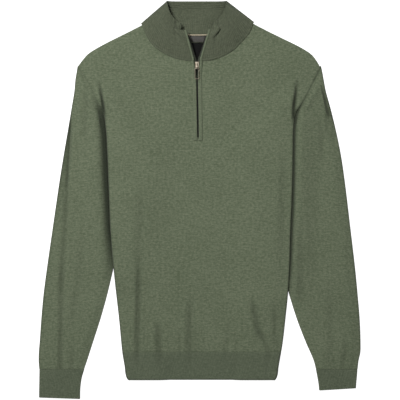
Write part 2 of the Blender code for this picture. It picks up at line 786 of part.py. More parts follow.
def make_cuff(collection, side):
    """A cuff: a flattened ring of rib."""
    sign = 1.0 if side == "left" else -1.0
    radius = (RIB + TUBE_GAP) / 2
    rows = []
    for inner_x, outer_x, inner_y, outer_y in CUFFS[side]:
        points = []
        near = (inner_x - sign * (RIB / 2 + radius), outer_x + sign * (RIB / 2 + radius))
        across = outer_x - inner_x

        def place(x, z, inner_x=inner_x, across=across, inner_y=inner_y, outer_y=outer_y):
            f = (x - inner_x) / across
            return (x, inner_y + (outer_y - inner_y) * f, z)

        for start, turn in ((near[0], sign), (near[1], -sign)):
            for k in range(5):
                a = -math.pi / 2 + math.pi * k / 4
                x = start + turn * radius * math.cos(a)
                z = RIB / 2 + radius + radius * math.sin(a) * (1 if turn == sign else -1)
                points.append(place(x, z))
            goal = near[1] if turn == sign else near[0]
            for f in (0.2, 0.4, 0.6, 0.8):
                x = start + (goal - start) * f
                puff = 0.7 if turn == sign else 0.0
                z = RIB / 2 + (2 * radius + puff if turn == sign else 0.0)
                points.append(place(x, z))
        rows.append(points)
    return cloth(collection, "cuff_" + side, [(rows, side == "right")], RIB, "rib", ring=True)


HEM_TUCK = {"left": 52.0, "right": 56.0}  # how far the hem's sides reach in under it
HEM_ROWS = (HEM_TOP - SEAM, -322.0, -341.0, HEM_BOTTOM)


def make_hem(collection):
    """The hem: one ring of rib, its sides tucked under like the body's."""
    pitch = RIB + LAYER_GAP
    centre = RIB / 2 + 1.5 * pitch
    rows = []
    for y in HEM_ROWS:
        tucks = HEM_TUCK
        ends = {side: (side_x(side, y), 1.0 if side == "left" else -1.0) for side in tucks}

        def fold_rise(d, reach):
            return 2 * pitch * (1 - smooth((d - reach - 12.0) / 24.0))

        def top_z(x, ends=ends, tucks=tucks):
            side = "left" if x < 0 else "right"
            d = (x - ends[side][0]) * ends[side][1]
            return RIB / 2 + fold_rise(d, tucks[side]) + pitch + 0.9 * smooth(d / 30.0)

        def low_z(x, ends=ends, tucks=tucks):
            side = "left" if x < 0 else "right"
            d = (x - ends[side][0]) * ends[side][1]
            return RIB / 2 + fold_rise(d, tucks[side])

        def turn(side, mid_z, radius, outward, steps=4):
            edge, sign = ends[side]
            made = []
            for k in range(steps + 1):
                a = math.pi * k / steps
                made.append((edge + sign * (centre - radius * math.sin(a)), y,
                             mid_z - outward * radius * math.cos(a)))
            return made

        def seam_turn(side, downward):
            edge, sign = ends[side]
            reach, radius = tucks[side], pitch / 2
            made = []
            for k in range(1, 3):
                a = math.pi * k / 3
                z = RIB / 2 + radius + downward * radius * math.cos(a)
                made.append((edge + sign * (reach + radius * math.sin(a)), y, z))
            return made

        def run(side, f, z):
            edge, sign = ends[side]
            return (edge + sign * (centre + (tucks[side] - centre) * f), y, z)

        middle = RIB / 2 + 1.5 * pitch
        left_edge, right_edge = ends["left"][0], ends["right"][0]
        points = [run("left", 1.0, RIB / 2), run("left", 0.5, RIB / 2)]
        points += turn("left", middle, 1.5 * pitch, 1.0)
        tops = [0.06, 0.13, 0.2, 0.28, 0.36, 0.5, 0.64, 0.72, 0.8, 0.87, 0.94]
        span = (left_edge + centre, right_edge - centre)
        for f in tops:
            x = span[0] + (span[1] - span[0]) * f
            points.append((x, y, top_z(x)))
        points += turn("right", middle, 1.5 * pitch, 1.0)[::-1]
        points += [run("right", 0.5, RIB / 2), run("right", 1.0, RIB / 2)]
        points += seam_turn("right", -1.0)
        points += [run("right", 1.0, RIB / 2 + pitch)]
        points += turn("right", middle, pitch / 2, 1.0, 3)
        for f in (0.87, 0.8, 0.72, 0.64, 0.5, 0.36, 0.28, 0.2, 0.13):
            x = span[0] + (span[1] - span[0]) * f
            points.append((x, y, low_z(x)))
        points += turn("left", middle, pitch / 2, 1.0, 3)[::-1]
        points += [run("left", 1.0, RIB / 2 + pitch)]
        points += seam_turn("left", 1.0)
        rows.append(points)
    return cloth(collection, "hem_band", [(rows[::-1], False)], RIB, "rib", ring=True)


# --- Collar and neck ---------------------------------------------------------------------------


def neck_loop():
    """The neck seam's points, in order of seam number, on the edges of the front and the back.

    At each notch it rounds the shoulder's end, from the front's edge to the back's.
    """
    front = {side: front_half(side, 1.0)[-NECK_SEGMENTS - 1:] for side in ("left", "right")}
    back = {side: back_half(side, 1.0)[-BACK_NECK_SEGMENTS - 1:] for side in ("left", "right")}
    lift = (COLLAR_WALL - KNIT) / 2 + 0.1
    loop = []
    for points, start, end, way in (
        (front["left"][::-1], 0.0, 1.0 - NOTCH_STEP, 1.0),
        (back["left"], 1.0 + NOTCH_STEP, 1.5, -1.0),
        (back["right"][::-1], 1.5, 2.0 - NOTCH_STEP, -1.0),
        (front["right"], 2.0 + NOTCH_STEP, 3.0, 1.0),
    ):
        for k, (x, y, z) in enumerate(points):
            before, after = points[max(0, k - 1)], points[min(len(points) - 1, k + 1)]
            across = flat(after[0] - before[0], after[1] - before[1])
            across = across / np.linalg.norm(across) * way * (SEAM + 0.15)
            number = start + (end - start) * k / (len(points) - 1)
            loop.append((number, x + across[1], y - across[0], z + lift))
    for number, table, sign in ((1.0, LEFT_TOP, -1.0), (2.0, RIGHT_TOP, 1.0)):
        x, y = table[NOTCH][:2]
        for k in (-1, 0, 1):
            a = math.pi / 4 * k
            out = NOTCH_RADIUS * math.cos(a)
            z = NOTCH_HEIGHT + sign * NOTCH_RADIUS * math.sin(a)
            loop.append((number + NOTCH_STEP * k / 2, x + sign * 0.66 * out, y + 0.75 * out, z))
    return sorted(loop)


NECK_LOOP = neck_loop()


def seam_point(number):
    """A point of the collar's foot at a seam number."""
    keys = [entry[0] for entry in NECK_LOOP]
    return np.array([float(np.interp(number, keys, [e[i] for e in NECK_LOOP])) for i in (1, 2, 3)])


def collar_value(name, t):
    """A named column of the collar's sections at section number t."""
    keys = list(range(len(COLLAR_SECTIONS)))
    return curve_at(keys, column(COLLAR_SECTIONS, COLLAR_COLUMNS, name), t)


def collar_point(t, v):
    """A point of the collar's middle surface, v from the neck seam to the top edge."""
    seam = seam_point(collar_value("seam", t))
    top = np.array([collar_value("top_" + axis, t) for axis in "xyz"])
    point = seam + (top - seam) * v
    point[2] += collar_value("belly", t) * math.sin(math.pi * v)
    return point


def collar_normal(t, v):
    """The collar's outward normal."""
    last = len(COLLAR_SECTIONS) - 1
    t0, t1 = max(0.0, t - 0.1), min(float(last), t + 0.1)
    v0, v1 = max(0.0, v - 0.05), min(1.0, v + 0.05)
    across = collar_point(t1, v) - collar_point(t0, v)
    up = collar_point(t, v1) - collar_point(t, v0)
    normal = np.cross(up, across)
    return normal / np.linalg.norm(normal)


def make_collar(collection):
    """The collar: a doubled rib band from the neck seam to the top edge."""
    last = len(COLLAR_SECTIONS) - 1
    stations = [k / COLLAR_STEPS for k in range(last * COLLAR_STEPS + 1)]
    rows = []
    for r in range(COLLAR_ROWS + 1):
        v = r / COLLAR_ROWS
        rows.append([tuple(collar_point(t, v)) for t in stations])
    return cloth(collection, "collar", [(rows, True)], COLLAR_WALL, "rib")


def neck_strip(collection, name, from_seam, to_seam, thick, slot):
    """A strip on the inside of the back, along the neck seam."""
    places = [along([flat(-92.0, 344.5)] + [flat(*p) for p in BACK_NECK] + [flat(84.0, 346.5)], k / 12)
              for k in range(13)]
    floor = KNIT + SEAM
    lower, upper = [], []
    for offset in (from_seam, (from_seam + to_seam) / 2, to_seam):
        lower.append([(x, y - offset, floor) for x, y in places])
        upper.append([(x, y - offset, floor + thick) for x, y in places])
    return slab(collection, name, lower, upper, slot)


def make_label(collection):
    """A plain woven label, sewn below the neck tape."""
    xs, ys = (-30.0, -17.0, -4.0, 9.0, 22.0), (314.8, 300.0, 285.0, 272.0)
    floor = KNIT + SEAM
    lower = [[(x, y, floor) for x in xs] for y in ys]
    upper = [[(x, y, floor + 0.6) for x in xs] for y in ys]
    return slab(collection, "neck_label", lower, upper, "label")


# --- Zip ---------------------------------------------------------------------------------------

ZIP_ROWS = (-0.03, 0.06, 0.2, 0.36, 0.52, 0.68, 0.82, 0.92, 1.0)
COLLAR_SHARES = (0.06, 0.2, 0.4, 0.6, 0.8, 1.0)


def collar_end(side):
    """Section number of the collar's zip edge, and the step that leads away from it."""
    return (0.0, 1.0) if side == "left" else (float(len(COLLAR_SECTIONS) - 1), -1.0)


def collar_place(side, away, v, out):
    """A place on the collar, so far from its zip edge along it, moved out from its middle."""
    end, step = collar_end(side)
    edge, inside = collar_point(end, v), collar_point(end + step, v)
    length = float(np.linalg.norm(inside - edge))
    t = end + step * max(0.0, away) / length
    normal = collar_normal(end + step * 0.5, v)
    point = collar_point(t, v) + normal * out
    if away < 0:
        point = point + (edge - inside) / length * -away
    return point


def make_welt(collection, side):
    """The cloth edging that covers one side of the zip, from its foot to the collar's top."""
    sign = -1.0 if side == "left" else 1.0
    lower, upper = [], []
    for share in ZIP_ROWS:
        y = SLIT_BOTTOM + (COLLAR_FOOT - 1.5 - SLIT_BOTTOM) * share
        opened = smooth((share - 0.86) / 0.14)
        width = WELT_WIDE + (WELT_NARROW - WELT_WIDE) * opened
        inner = zip_x(y) + sign * (1.7 + 5.0 * opened)
        xs = [inner + sign * width * f for f in (0.0, 0.33, 0.67, 1.0)]
        step_up = (COLLAR_WALL - KNIT + SEAM) * smooth((share - 0.82) / 0.18)
        base = [max(front_height(x, y) for x in xs) + KNIT / 2 + SEAM + step_up] * 4
        crown = (0.55, 1.0, 1.0, 0.5)
        lower.append([(x, y, z) for x, z in zip(xs, base)])
        upper.append([(x, y, z + WELT_THICK * c) for x, z, c in zip(xs, base, crown)])
    for v in COLLAR_SHARES:
        outs = COLLAR_WALL / 2 + SEAM
        aways = [-0.4 + WELT_NARROW * f for f in (0.0, 0.33, 0.67, 1.0)]
        crown = (0.55, 1.0, 1.0, 0.5)
        lower.append([tuple(collar_place(side, a, v, outs)) for a in aways])
        upper.append(
            [tuple(collar_place(side, a, v, outs + WELT_THICK * c)) for a, c in zip(aways, crown)]
        )
    return slab(collection, "zip_welt_" + side, lower, upper, "knit")


def make_tape(collection, side):
    """One tape of the zip, behind the front panel and the collar's edge."""
    sign = -1.0 if side == "left" else 1.0
    lower, upper = [], []
    for share in ZIP_ROWS[:-2]:
        y = SLIT_BOTTOM + (COLLAR_FOOT - 1.5 - SLIT_BOTTOM) * share
        opened = smooth((share - 0.86) / 0.14)
        inner = zip_x(y) + sign * (0.3 + 1.2 * opened)
        xs = [inner, inner + sign * 5.0, inner + sign * 10.0]
        base = min(front_height(x + sign * 4.0, y) for x in xs) - KNIT / 2 - SEAM - 0.2
        base -= 0.9 * smooth((share - 0.68) / 0.24)
        lower.append([(x, y, base - TAPE_THICK) for x in xs])
        upper.append([(x, y, base) for x in xs])
    for v in (0.0,) + COLLAR_SHARES[1:-1]:
        out = -COLLAR_WALL / 2 - SEAM - 0.2
        aways = (-4.2, 0.0, 4.5)
        lower.append([tuple(collar_place(side, a, v, out - TAPE_THICK)) for a in aways])
        upper.append([tuple(collar_place(side, a, v, out)) for a in aways])
    return slab(collection, "zip_tape_" + side, lower, upper, "tape")


def box_piece(name, size, centre):
    """A box, from a primitive."""
    bm = bmesh.new()
    bmesh.ops.create_cube(bm, size=1.0)
    bmesh.ops.scale(bm, vec=Vector(size) * MM, verts=bm.verts)
    bmesh.ops.translate(bm, vec=Vector(centre) * MM, verts=bm.verts)
    mesh = bpy.data.meshes.new(name)
    bm.to_mesh(mesh)
    bm.free()
    return mesh


def bent_wire(collection, name, points, radius, slot):
    """A closed or open wire as one mesh, along points in millimetres."""
    closed = points[0] == points[-1]
    path = points[:-1] if closed else points
    curve = bpy.data.curves.new(name, "CURVE")
    curve.dimensions = "3D"
    curve.bevel_depth = radius * MM
    curve.bevel_resolution = 1
    curve.use_fill_caps = not closed
    spline = curve.splines.new("POLY")
    spline.points.add(len(path) - 1)
    for point, place in zip(spline.points, path):
        point.co = (place[0] * MM, place[1] * MM, place[2] * MM, 1.0)
    spline.use_cyclic_u = closed
    holder = bpy.data.objects.new(name + "_path", curve)
    bpy.context.scene.collection.objects.link(holder)
    bpy.context.view_layer.update()
    depsgraph = bpy.context.evaluated_depsgraph_get()
    mesh = bpy.data.meshes.new_from_object(holder.evaluated_get(depsgraph))
    bpy.data.objects.remove(holder, do_unlink=True)
    bpy.data.curves.remove(curve)
    bm = bmesh.new()
    bm.from_mesh(mesh)
    bmesh.ops.remove_doubles(bm, verts=bm.verts, dist=0.00001)
    bmesh.ops.recalc_face_normals(bm, faces=bm.faces)
    bm.to_mesh(mesh)
    bm.free()
    mesh.materials.clear()
    return finish(collection, name, mesh, slot)


def make_slider(collection, cutters):
    """The slider: a tapered body with a bridge, under which the pull's bar turns."""
    x, y, z = HINGE
    top = z - PULL_BAR - 0.35
    mesh = box_piece("zip_slider", (SLIDER_WIDTH, SLIDER_LENGTH, SLIDER_HEIGHT),
                     (x, y + 5.2, top - SLIDER_HEIGHT / 2))
    slider = finish(collection, "zip_slider", mesh, "metal")
    for vertex in mesh.vertices:
        if vertex.co.y < (y + 5.0) * MM:
            vertex.co.x = (x * MM) + (vertex.co.x - x * MM) * SLIDER_TAPER
    edges = slider.modifiers.new("edges", "BEVEL")
    edges.width = 0.7 * MM
    edges.segments = 2
    reach = PULL_BAR + 0.4 + BRIDGE_WIRE
    path = [(x, y - reach, top - 0.8)]
    for k in range(7):
        a = math.pi - math.pi / 2 * k / 6
        path.append((x, y + reach * math.cos(a), z + reach * math.sin(a)))
    path += [(x, y + 6.0, z + reach * 0.92), (x, y + 9.6, z + 0.4), (x, y + 10.6, top - 0.8)]
    bridge = bent_wire(cutters, "bridge", path, BRIDGE_WIRE, "metal")
    bridge.hide_render = True
    bridge.display_type = "WIRE"
    union = slider.modifiers.new("bridge", "BOOLEAN")
    union.operation = "UNION"
    union.solver = "EXACT"
    union.object = bridge


def make_pull(collection):
    """The pull tab: a slotted tag whose upper bar turns under the slider's bridge."""
    hinge = bpy.data.objects.new("pull_hinge", None)
    hinge.location = Vector(HINGE) * MM
    collection.objects.link(hinge)
    half = PULL_WIDTH / 2 - PULL_BAR
    outline = [(-half, 0.0), (half, 0.0)]
    tip = PULL_LENGTH - PULL_BAR
    for k in range(5):
        a = math.pi / 2 * k / 4
        outline.append((half - 2.0 + 2.0 * math.cos(a), -tip + 2.0 - 2.0 * math.sin(a)))
    for k in range(5):
        a = math.pi / 2 + math.pi / 2 * k / 4
        outline.append((-half + 2.0 + 2.0 * math.cos(a), -tip + 2.0 - 2.0 * math.sin(a)))
    points = [(x, y * math.cos(PULL_TILT), y * math.sin(PULL_TILT)) for x, y in outline]
    pull = bent_wire(collection, "zip_pull", points + [points[0]], PULL_BAR, "metal")
    pull.parent = hinge


def centre(collection):
    """Moves the whole garment: the middle of its box over the origin, its lowest point on z = 0."""
    bpy.context.view_layer.update()
    depsgraph = bpy.context.evaluated_depsgraph_get()
    corners = []
    for made in collection.objects:
        if made.type == "MESH":
            mesh = made.evaluated_get(depsgraph).to_mesh()
            corners += [made.matrix_world @ vertex.co for vertex in mesh.vertices]
            made.evaluated_get(depsgraph).to_mesh_clear()
    places = np.array(corners)
    low, high = places.min(axis=0), places.max(axis=0)
    shift = Vector(((low[0] + high[0]) / 2, (low[1] + high[1]) / 2, low[2]))
    for made in list(collection.objects) + list(bpy.data.collections["cutters"].objects):
        if made.parent is None:
            made.location -= shift


def main():
    """Builds every piece of the sweater."""
    for old in list(bpy.data.objects):
        bpy.data.objects.remove(old, do_unlink=True)
    garment = bpy.data.collections.new("quarter_zip_sweater")
    bpy.context.scene.collection.children.link(garment)
    cutters = bpy.data.collections.new("cutters")
    bpy.context.scene.collection.children.link(cutters)
    make_front(garment)
    make_back(garment)
    for side in ("left", "right"):
        make_sleeve(garment, side)
        make_cuff(garment, side)
    make_hem(garment)
    make_collar(garment)
    neck_strip(garment, "neck_piping", 1.2, 4.2, 0.9, "piping")
    neck_strip(garment, "neck_tape", 4.6, 17.6, 0.6, "satin")
    make_label(garment)
    for side in ("left", "right"):
        make_welt(garment, side)
        make_tape(garment, side)
    make_slider(garment, cutters)
    make_pull(garment)
    centre(garment)


main()
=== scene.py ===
"""A fine-knit quarter zip sweater laid flat: knit shells, rib, zip, trims and a plain studio.

Sizes are in millimetres in the garment's own frame, and meshes are made in metres.
"""

import logging
import math
from dataclasses import dataclass, field
from enum import Enum
from typing import Callable, Iterable, Sequence

import bpy
import numpy as np
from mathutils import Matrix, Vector
from mathutils.bvhtree import BVHTree

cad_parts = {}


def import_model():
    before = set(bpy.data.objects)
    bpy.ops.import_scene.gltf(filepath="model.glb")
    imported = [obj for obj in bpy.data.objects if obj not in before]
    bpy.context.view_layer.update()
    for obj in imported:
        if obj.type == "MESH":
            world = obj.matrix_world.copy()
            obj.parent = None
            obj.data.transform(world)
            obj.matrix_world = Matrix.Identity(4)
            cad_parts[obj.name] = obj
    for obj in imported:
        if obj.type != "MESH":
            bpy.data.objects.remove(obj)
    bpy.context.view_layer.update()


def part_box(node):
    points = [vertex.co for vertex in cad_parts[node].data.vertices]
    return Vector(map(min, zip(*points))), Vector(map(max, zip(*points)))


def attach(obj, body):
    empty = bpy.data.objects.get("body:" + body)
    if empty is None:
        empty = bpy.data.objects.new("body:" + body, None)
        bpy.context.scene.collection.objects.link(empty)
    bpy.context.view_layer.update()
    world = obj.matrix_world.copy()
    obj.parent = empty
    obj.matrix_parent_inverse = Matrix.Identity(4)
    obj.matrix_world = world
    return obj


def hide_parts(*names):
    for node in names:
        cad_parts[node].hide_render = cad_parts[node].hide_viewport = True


MM = 0.001
GARMENT_BODY = "garment"
Array = np.ndarray
logging.basicConfig(level=logging.INFO, format="%(name)s: %(message)s")
LOG = logging.getLogger("sweater")


# --- Small maths ---


def smooth(t: Array | float) -> Array:
    """A smooth step from 0 to 1."""
    t = np.clip(t, 0.0, 1.0)
    return t * t * (3 - 2 * t)


def curve_at(keys: Sequence[float], values: Sequence[float], t: Array | float) -> Array:
    """A cubic through values at keys.

    Args:
        keys: rising places of the values.
        values: what the curve passes through.
        t: where to read it.

    Returns:
        The curve's value at each t.
    """
    at, through = np.asarray(keys, float), np.asarray(values, float)
    t = np.clip(t, at[0], at[-1])
    slopes = np.diff(through) / np.diff(at)
    tangents = np.concatenate(([slopes[0]], (slopes[:-1] + slopes[1:]) / 2, [slopes[-1]]))
    i = np.clip(np.searchsorted(at, t, side="right") - 1, 0, len(at) - 2)
    span = at[i + 1] - at[i]
    f = (t - at[i]) / span
    return (through[i] * (2 * f**3 - 3 * f**2 + 1) + tangents[i] * span * (f**3 - 2 * f**2 + f)
            + through[i + 1] * (3 * f**2 - 2 * f**3) + tangents[i + 1] * span * (f**3 - f**2))


def bell(t: Array | float) -> Array:
    """A soft bump around 0, where it is 1."""
    return np.exp(-(t * t))


def stacked(*parts: Array | float) -> Array:
    """Coordinates side by side, each of them an array or one value for all."""
    return np.stack(np.broadcast_arrays(*parts), axis=-1)


def ring_of(first: float, last: float, count: int) -> tuple[Array, Array]:
    """Sines and cosines of angles from first to last, given in half turns."""
    angles = np.linspace(first * math.pi, last * math.pi, count)
    return np.sin(angles), np.cos(angles)


def run_along(points: Array) -> Array:
    """Distance run along each row of places (rows, columns, 3), from its first place."""
    steps = np.linalg.norm(np.diff(points, axis=1), axis=-1)
    return np.concatenate((np.zeros((len(points), 1)), np.cumsum(steps, axis=1)), axis=1)


@dataclass(frozen=True)
class Table:
    """A short table with named columns, whose first column rises."""

    columns: tuple[str, ...]
    rows: tuple[tuple[float, ...], ...]

    def column(self, name: str) -> list[float]:
        """One column by name."""
        return [row[self.columns.index(name)] for row in self.rows]

    def at(self, name: str, key: Array | float) -> Array:
        """A column, read smoothly at a value of the first column."""
        return curve_at(self.column(self.columns[0]), self.column(name), key)

    def straight(self, name: str, key: Array | float) -> Array:
        """A column, read straight between its rows."""
        return np.interp(key, self.column(self.columns[0]), self.column(name))


def table(columns: str, *rows: tuple[float, ...]) -> Table:
    """A table from its columns' names and its rows."""
    return Table(tuple(columns.split()), rows)


@dataclass(frozen=True)
class Path:
    """A line through points on the plan, read by its share of length."""

    points: tuple[tuple[float, float], ...]
    rounded: bool = True

    def at(self, share: Array | float) -> Array:
        """Places on the line.

        Args:
            share: shares of the length, from 0 to 1.

        Returns:
            The places (..., 2).
        """
        places = np.array(self.points, float)
        steps = np.linalg.norm(np.diff(places, axis=0), axis=1)
        keys = np.concatenate(([0.0], np.cumsum(steps)))
        where = np.asarray(share, float) * keys[-1]
        if self.rounded:
            return stacked(*(curve_at(keys, row, where) for row in places.T))
        return stacked(*(np.interp(where, keys, row) for row in places.T))


class Side(Enum):
    """A side of the garment, as it is seen from above."""

    LEFT = "left"
    RIGHT = "right"

    @property
    def inward(self) -> float:
        """The direction of X from this side's edge towards the middle."""
        return 1.0 if self is Side.LEFT else -1.0

    @property
    def turned(self) -> bool:
        """Whether a grid that runs inward has its faces turned over on this side."""
        return self is Side.RIGHT


class Layer(Enum):
    """What lies hidden between the back and the surface at each side."""

    SLEEVE = "sleeve"
    TUCK = "flap"


def each(left: object, right: object) -> object:
    """A dataclass field that holds a value for each side."""
    return field(default_factory=lambda: {Side.LEFT: left, Side.RIGHT: right})


@dataclass(frozen=True)
class Fold:
    """One soft trough between two ends, with its raised flanks."""

    low: tuple[float, float]
    high: tuple[float, float]
    half_width: float
    depth: float
    raised: float = 0.4

    def across(self, x: Array, y: Array) -> tuple[Array, Array]:
        """Where places lie over the fold.

        Args:
            x: places across.
            y: places along.

        Returns:
            How far off its line each is, in half widths, and how full the fold is there.
        """
        f = (y - self.low[1]) / (self.high[1] - self.low[1])
        ends = smooth((f + 0.25) / 0.25) * smooth((1.25 - f) / 0.5)
        return (x - (self.low[0] + (self.high[0] - self.low[0]) * f)) / self.half_width, ends

    def height(self, x: Array, y: Array) -> Array:
        """What the trough adds to a surface at each place."""
        off, ends = self.across(x, y)
        return ends * (self.raised * bell(np.abs(off) - 1.9) - self.depth * bell(off))

    def trough(self, x: Array, y: Array) -> Array:
        """How far down in the trough each place lies."""
        off, ends = self.across(x, y)
        return ends * self.depth * bell(off)


def folds(*rows: tuple[float, ...]) -> tuple[Fold, ...]:
    """Folds from rows of their two ends, half width, depth and rise of the flanks."""
    return tuple(Fold(row[:2], row[2:4], *row[4:]) for row in rows)


@dataclass(frozen=True)
class Slack:
    """Slight unevenness of cloth that lies loose: a few long waves of unlike size."""

    seed: int
    height: float
    length: float
    waves: int = 14

    def at(self, x: Array, y: Array) -> Array:
        """Height of the unevenness.

        Args:
            x: places across.
            y: places along.

        Returns:
            The height at each place.
        """
        rng = np.random.RandomState(self.seed)
        total = np.zeros(np.broadcast(x, y).shape)
        for _ in range(self.waves):
            angle, phase = rng.uniform(-0.5, 0.5), rng.uniform(0, 2 * math.pi)
            wave = self.length * rng.uniform(0.6, 1.8)
            run = x * math.cos(angle) + y * math.sin(angle) * 0.35
            total = total + rng.uniform(0.3, 1.0) * np.sin(2 * math.pi * run / wave + phase)
        return self.height * total / math.sqrt(self.waves)


# --- The garment's form ---


@dataclass(frozen=True)
class Form:
    """Sizes and surfaces of the laid garment: each height is the middle of a cloth wall."""

    knit: float = 1.6
    rib: float = 2.0
    collar_wall: float = 3.2
    seam: float = 0.3
    layer_gap: float = 0.45
    tube_gap: float = 1.0
    pillow: float = 2.6
    sleeve_pillow: float = 3.4
    seam_overlap: float = 0.35
    foot_overlap: float = 6.0
    seam_dip: float = 0.9
    seam_half: float = 1.7
    neck_lift: float = 3.0
    settle_top: float = 240.0
    settle_width: float = 42.0
    shoulder_run: float = 12.0
    seam_turn: float = 20.0
    cover_start: dict[Side, float] = each(-150.0, -192.0)
    hem_bottom: float = -359.6
    hem_top: float = -304.0
    slit_bottom: float = 123.0
    armhole_foot: float = 99.0
    tuck_top: float = 175.0
    collar_foot: float = 278.0
    patch_bottom: float = 182.0
    zip_foot_x: float = -3.0
    zip_neck_x: float = -5.0
    slit_half: float = 5.0
    notch: int = 5
    back_falls: tuple[float, float] = (24.0, 26.0)
    front_falls: tuple[float, float] = (78.0, 70.0)
    side_edge: Table = table(
        "y left right",
        (-359.6, -142.8, 151.4), (-355.5, -145.7, 154.3), (-331, -150, 158.6),
        (-304, -154.5, 163.4), (-285, -156.5, 166.5), (-237, -161, 172), (-189, -166.5, 176.5),
        (-135, -171.8, 180), (-61, -178, 182.2), (-7, -180.2, 184.6), (47, -182.4, 186.2),
        (101, -184.6, 187), (150, -188, 188.6), (175, -192.5, 193.5), (203, -206, 209.5),
        (231, -219, 224.5), (262, -239.5, 240), (269, -242.8, 241.8),
    )
    tuck: Table = table(
        "y sleeve_left sleeve_right flap_left flap_right",
        (-304, -8, -8, 54, 56), (-176, -8, 0, 62, 66), (-135, 0, 10, 66, 70), (-20, 34, 44, 73, 79),
        (99, 72, 84, 77, 88), (137, 37, 43, 43, 48), (175, -4, -4, 15, 15), (262, -4, -4, 15, 15),
    )
    sleeve_outer: Table = table(
        "y left right",
        (-338, -320.8, 316.5), (-321, -322, 318.5), (-305, -321.6, 322), (-285, -320, 322.4),
        (-237, -316.6, 320.6), (-189, -312.2, 316.6), (-141, -306, 312), (-57, -294, 302.2),
        (39, -280, 290.6), (87, -272.4, 283.6), (135, -264.2, 274), (183, -256.2, 262.4),
        (219, -250.4, 252.6), (243, -248.2, 248.2), (258, -245.5, 245.4), (269, -243, 242),
    )
    sleeve_inner_edge: Table = table(
        "y left right",
        (-338, -230.8, 233), (-321, -225, 228.5), (-285, -213.4, 213), (-237, -198, 194.5),
        (-189, -184.6, 179.5), (-135, -171.8, 165), (-20, -145.6, 138), (99, -112.6, 104),
    )
    tops: dict[Side, Table] = each(
        table(
            "x y front_height",
            (-240.5, 268, 2.75), (-236.5, 279.5, 2.75), (-224, 291, 2.75), (-206, 303, 2.75),
            (-160, 327, 2.75), (-114.2, 349.5, 6.2), (-106.5, 331, 6.4), (-97, 314.5, 6.6),
            (-80, 299, 6.9), (-52, 285, 7.8), (-27, 279.3, 8.4), (-10, 278, 8.6),
        ),
        table(
            "x y front_height",
            (241.5, 266, 2.75), (236, 279.5, 2.75), (224, 291, 2.75), (206, 303, 2.75),
            (158, 327, 2.75), (106.4, 352.5, 6.2), (98.5, 334, 6.4), (83.5, 317, 6.6),
            (64.5, 298.5, 6.9), (42, 286, 7.8), (20, 279.5, 8.4), (0, 278, 8.6),
        ),
    )
    crease: Table = table(
        "y left right left_depth right_depth",
        (150, -187.6, 187.4, 0, 0), (166, -189.4, 187.8, 2.2, 3.8), (176, -190.6, 188, 3.8, 4.6),
        (192, -193.1, 189, 4.2, 4.8), (209, -196, 191.3, 3.2, 4), (229, -199.4, 193.8, 1.6, 2.2),
        (242, -201.5, 195.6, 0, 0.6), (250, -202.8, 196.6, 0, 0),
    )
    crease_half: float = 2.4
    sleeve_rise: Table = table(
        "y left right",
        (-190, 0, 0), (-150, 2, 5), (-110, 5, 6.8), (-60, 7.5, 7.4), (60, 9.5, 7.8), (150, 9.5, 8),
        (176, 6, 5.6), (208, 0, 0),
    )
    # Painted shadow along each sleeve's outer edge: where it begins across, and how dark it is
    # painted on each side.
    painted_outer_shadow: Table = table(
        "y left right left_shade right_shade",
        (-60, -266, 250, 0, 0), (0, -264, 250, 0.16, 0), (60, -262.5, 250, 0.32, 0),
        (110, -260, 251, 0.50, 0), (150, -257.5, 256.5, 0.68, 0.10),
        (172, -256.2, 256.8, 0.40, 0.42), (182, -256, 255, 0, 0.42), (216, -256, 248, 0, 0.20),
        (228, -256, 246, 0, 0),
    )
    rise_widths: dict[Side, float] = each(5.0, 1.8)
    rise_fall: float = 48.0
    rise_full: float = 9.5  # rise beside the body at which the painted shade of its crease is full
    # Crease depth at which the front's painted crease shade is full.
    crease_full: float = 3.8
    # Painted shade in the crease beside the body, and the share of the folds' painted shade that
    # the hem keeps.
    rise_shade: float = 1.25
    hem_shade: float = 0.7
    cuff_top: float = -338.0
    body_meets_sleeve: float = -135.0
    fold_shade: float = 0.12  # painted shade for each millimetre of a fold's depth
    # Painted shade on slopes turned down from level, beside the armhole seams and on the rims, with
    # their widths.
    turn_shade: float = 0.75
    armhole_half: float = 2.2
    armhole_shades: dict[Side, float] = each(0.22, 0.5)
    rim_shade: float = 0.5
    rim_width: float = 2.4
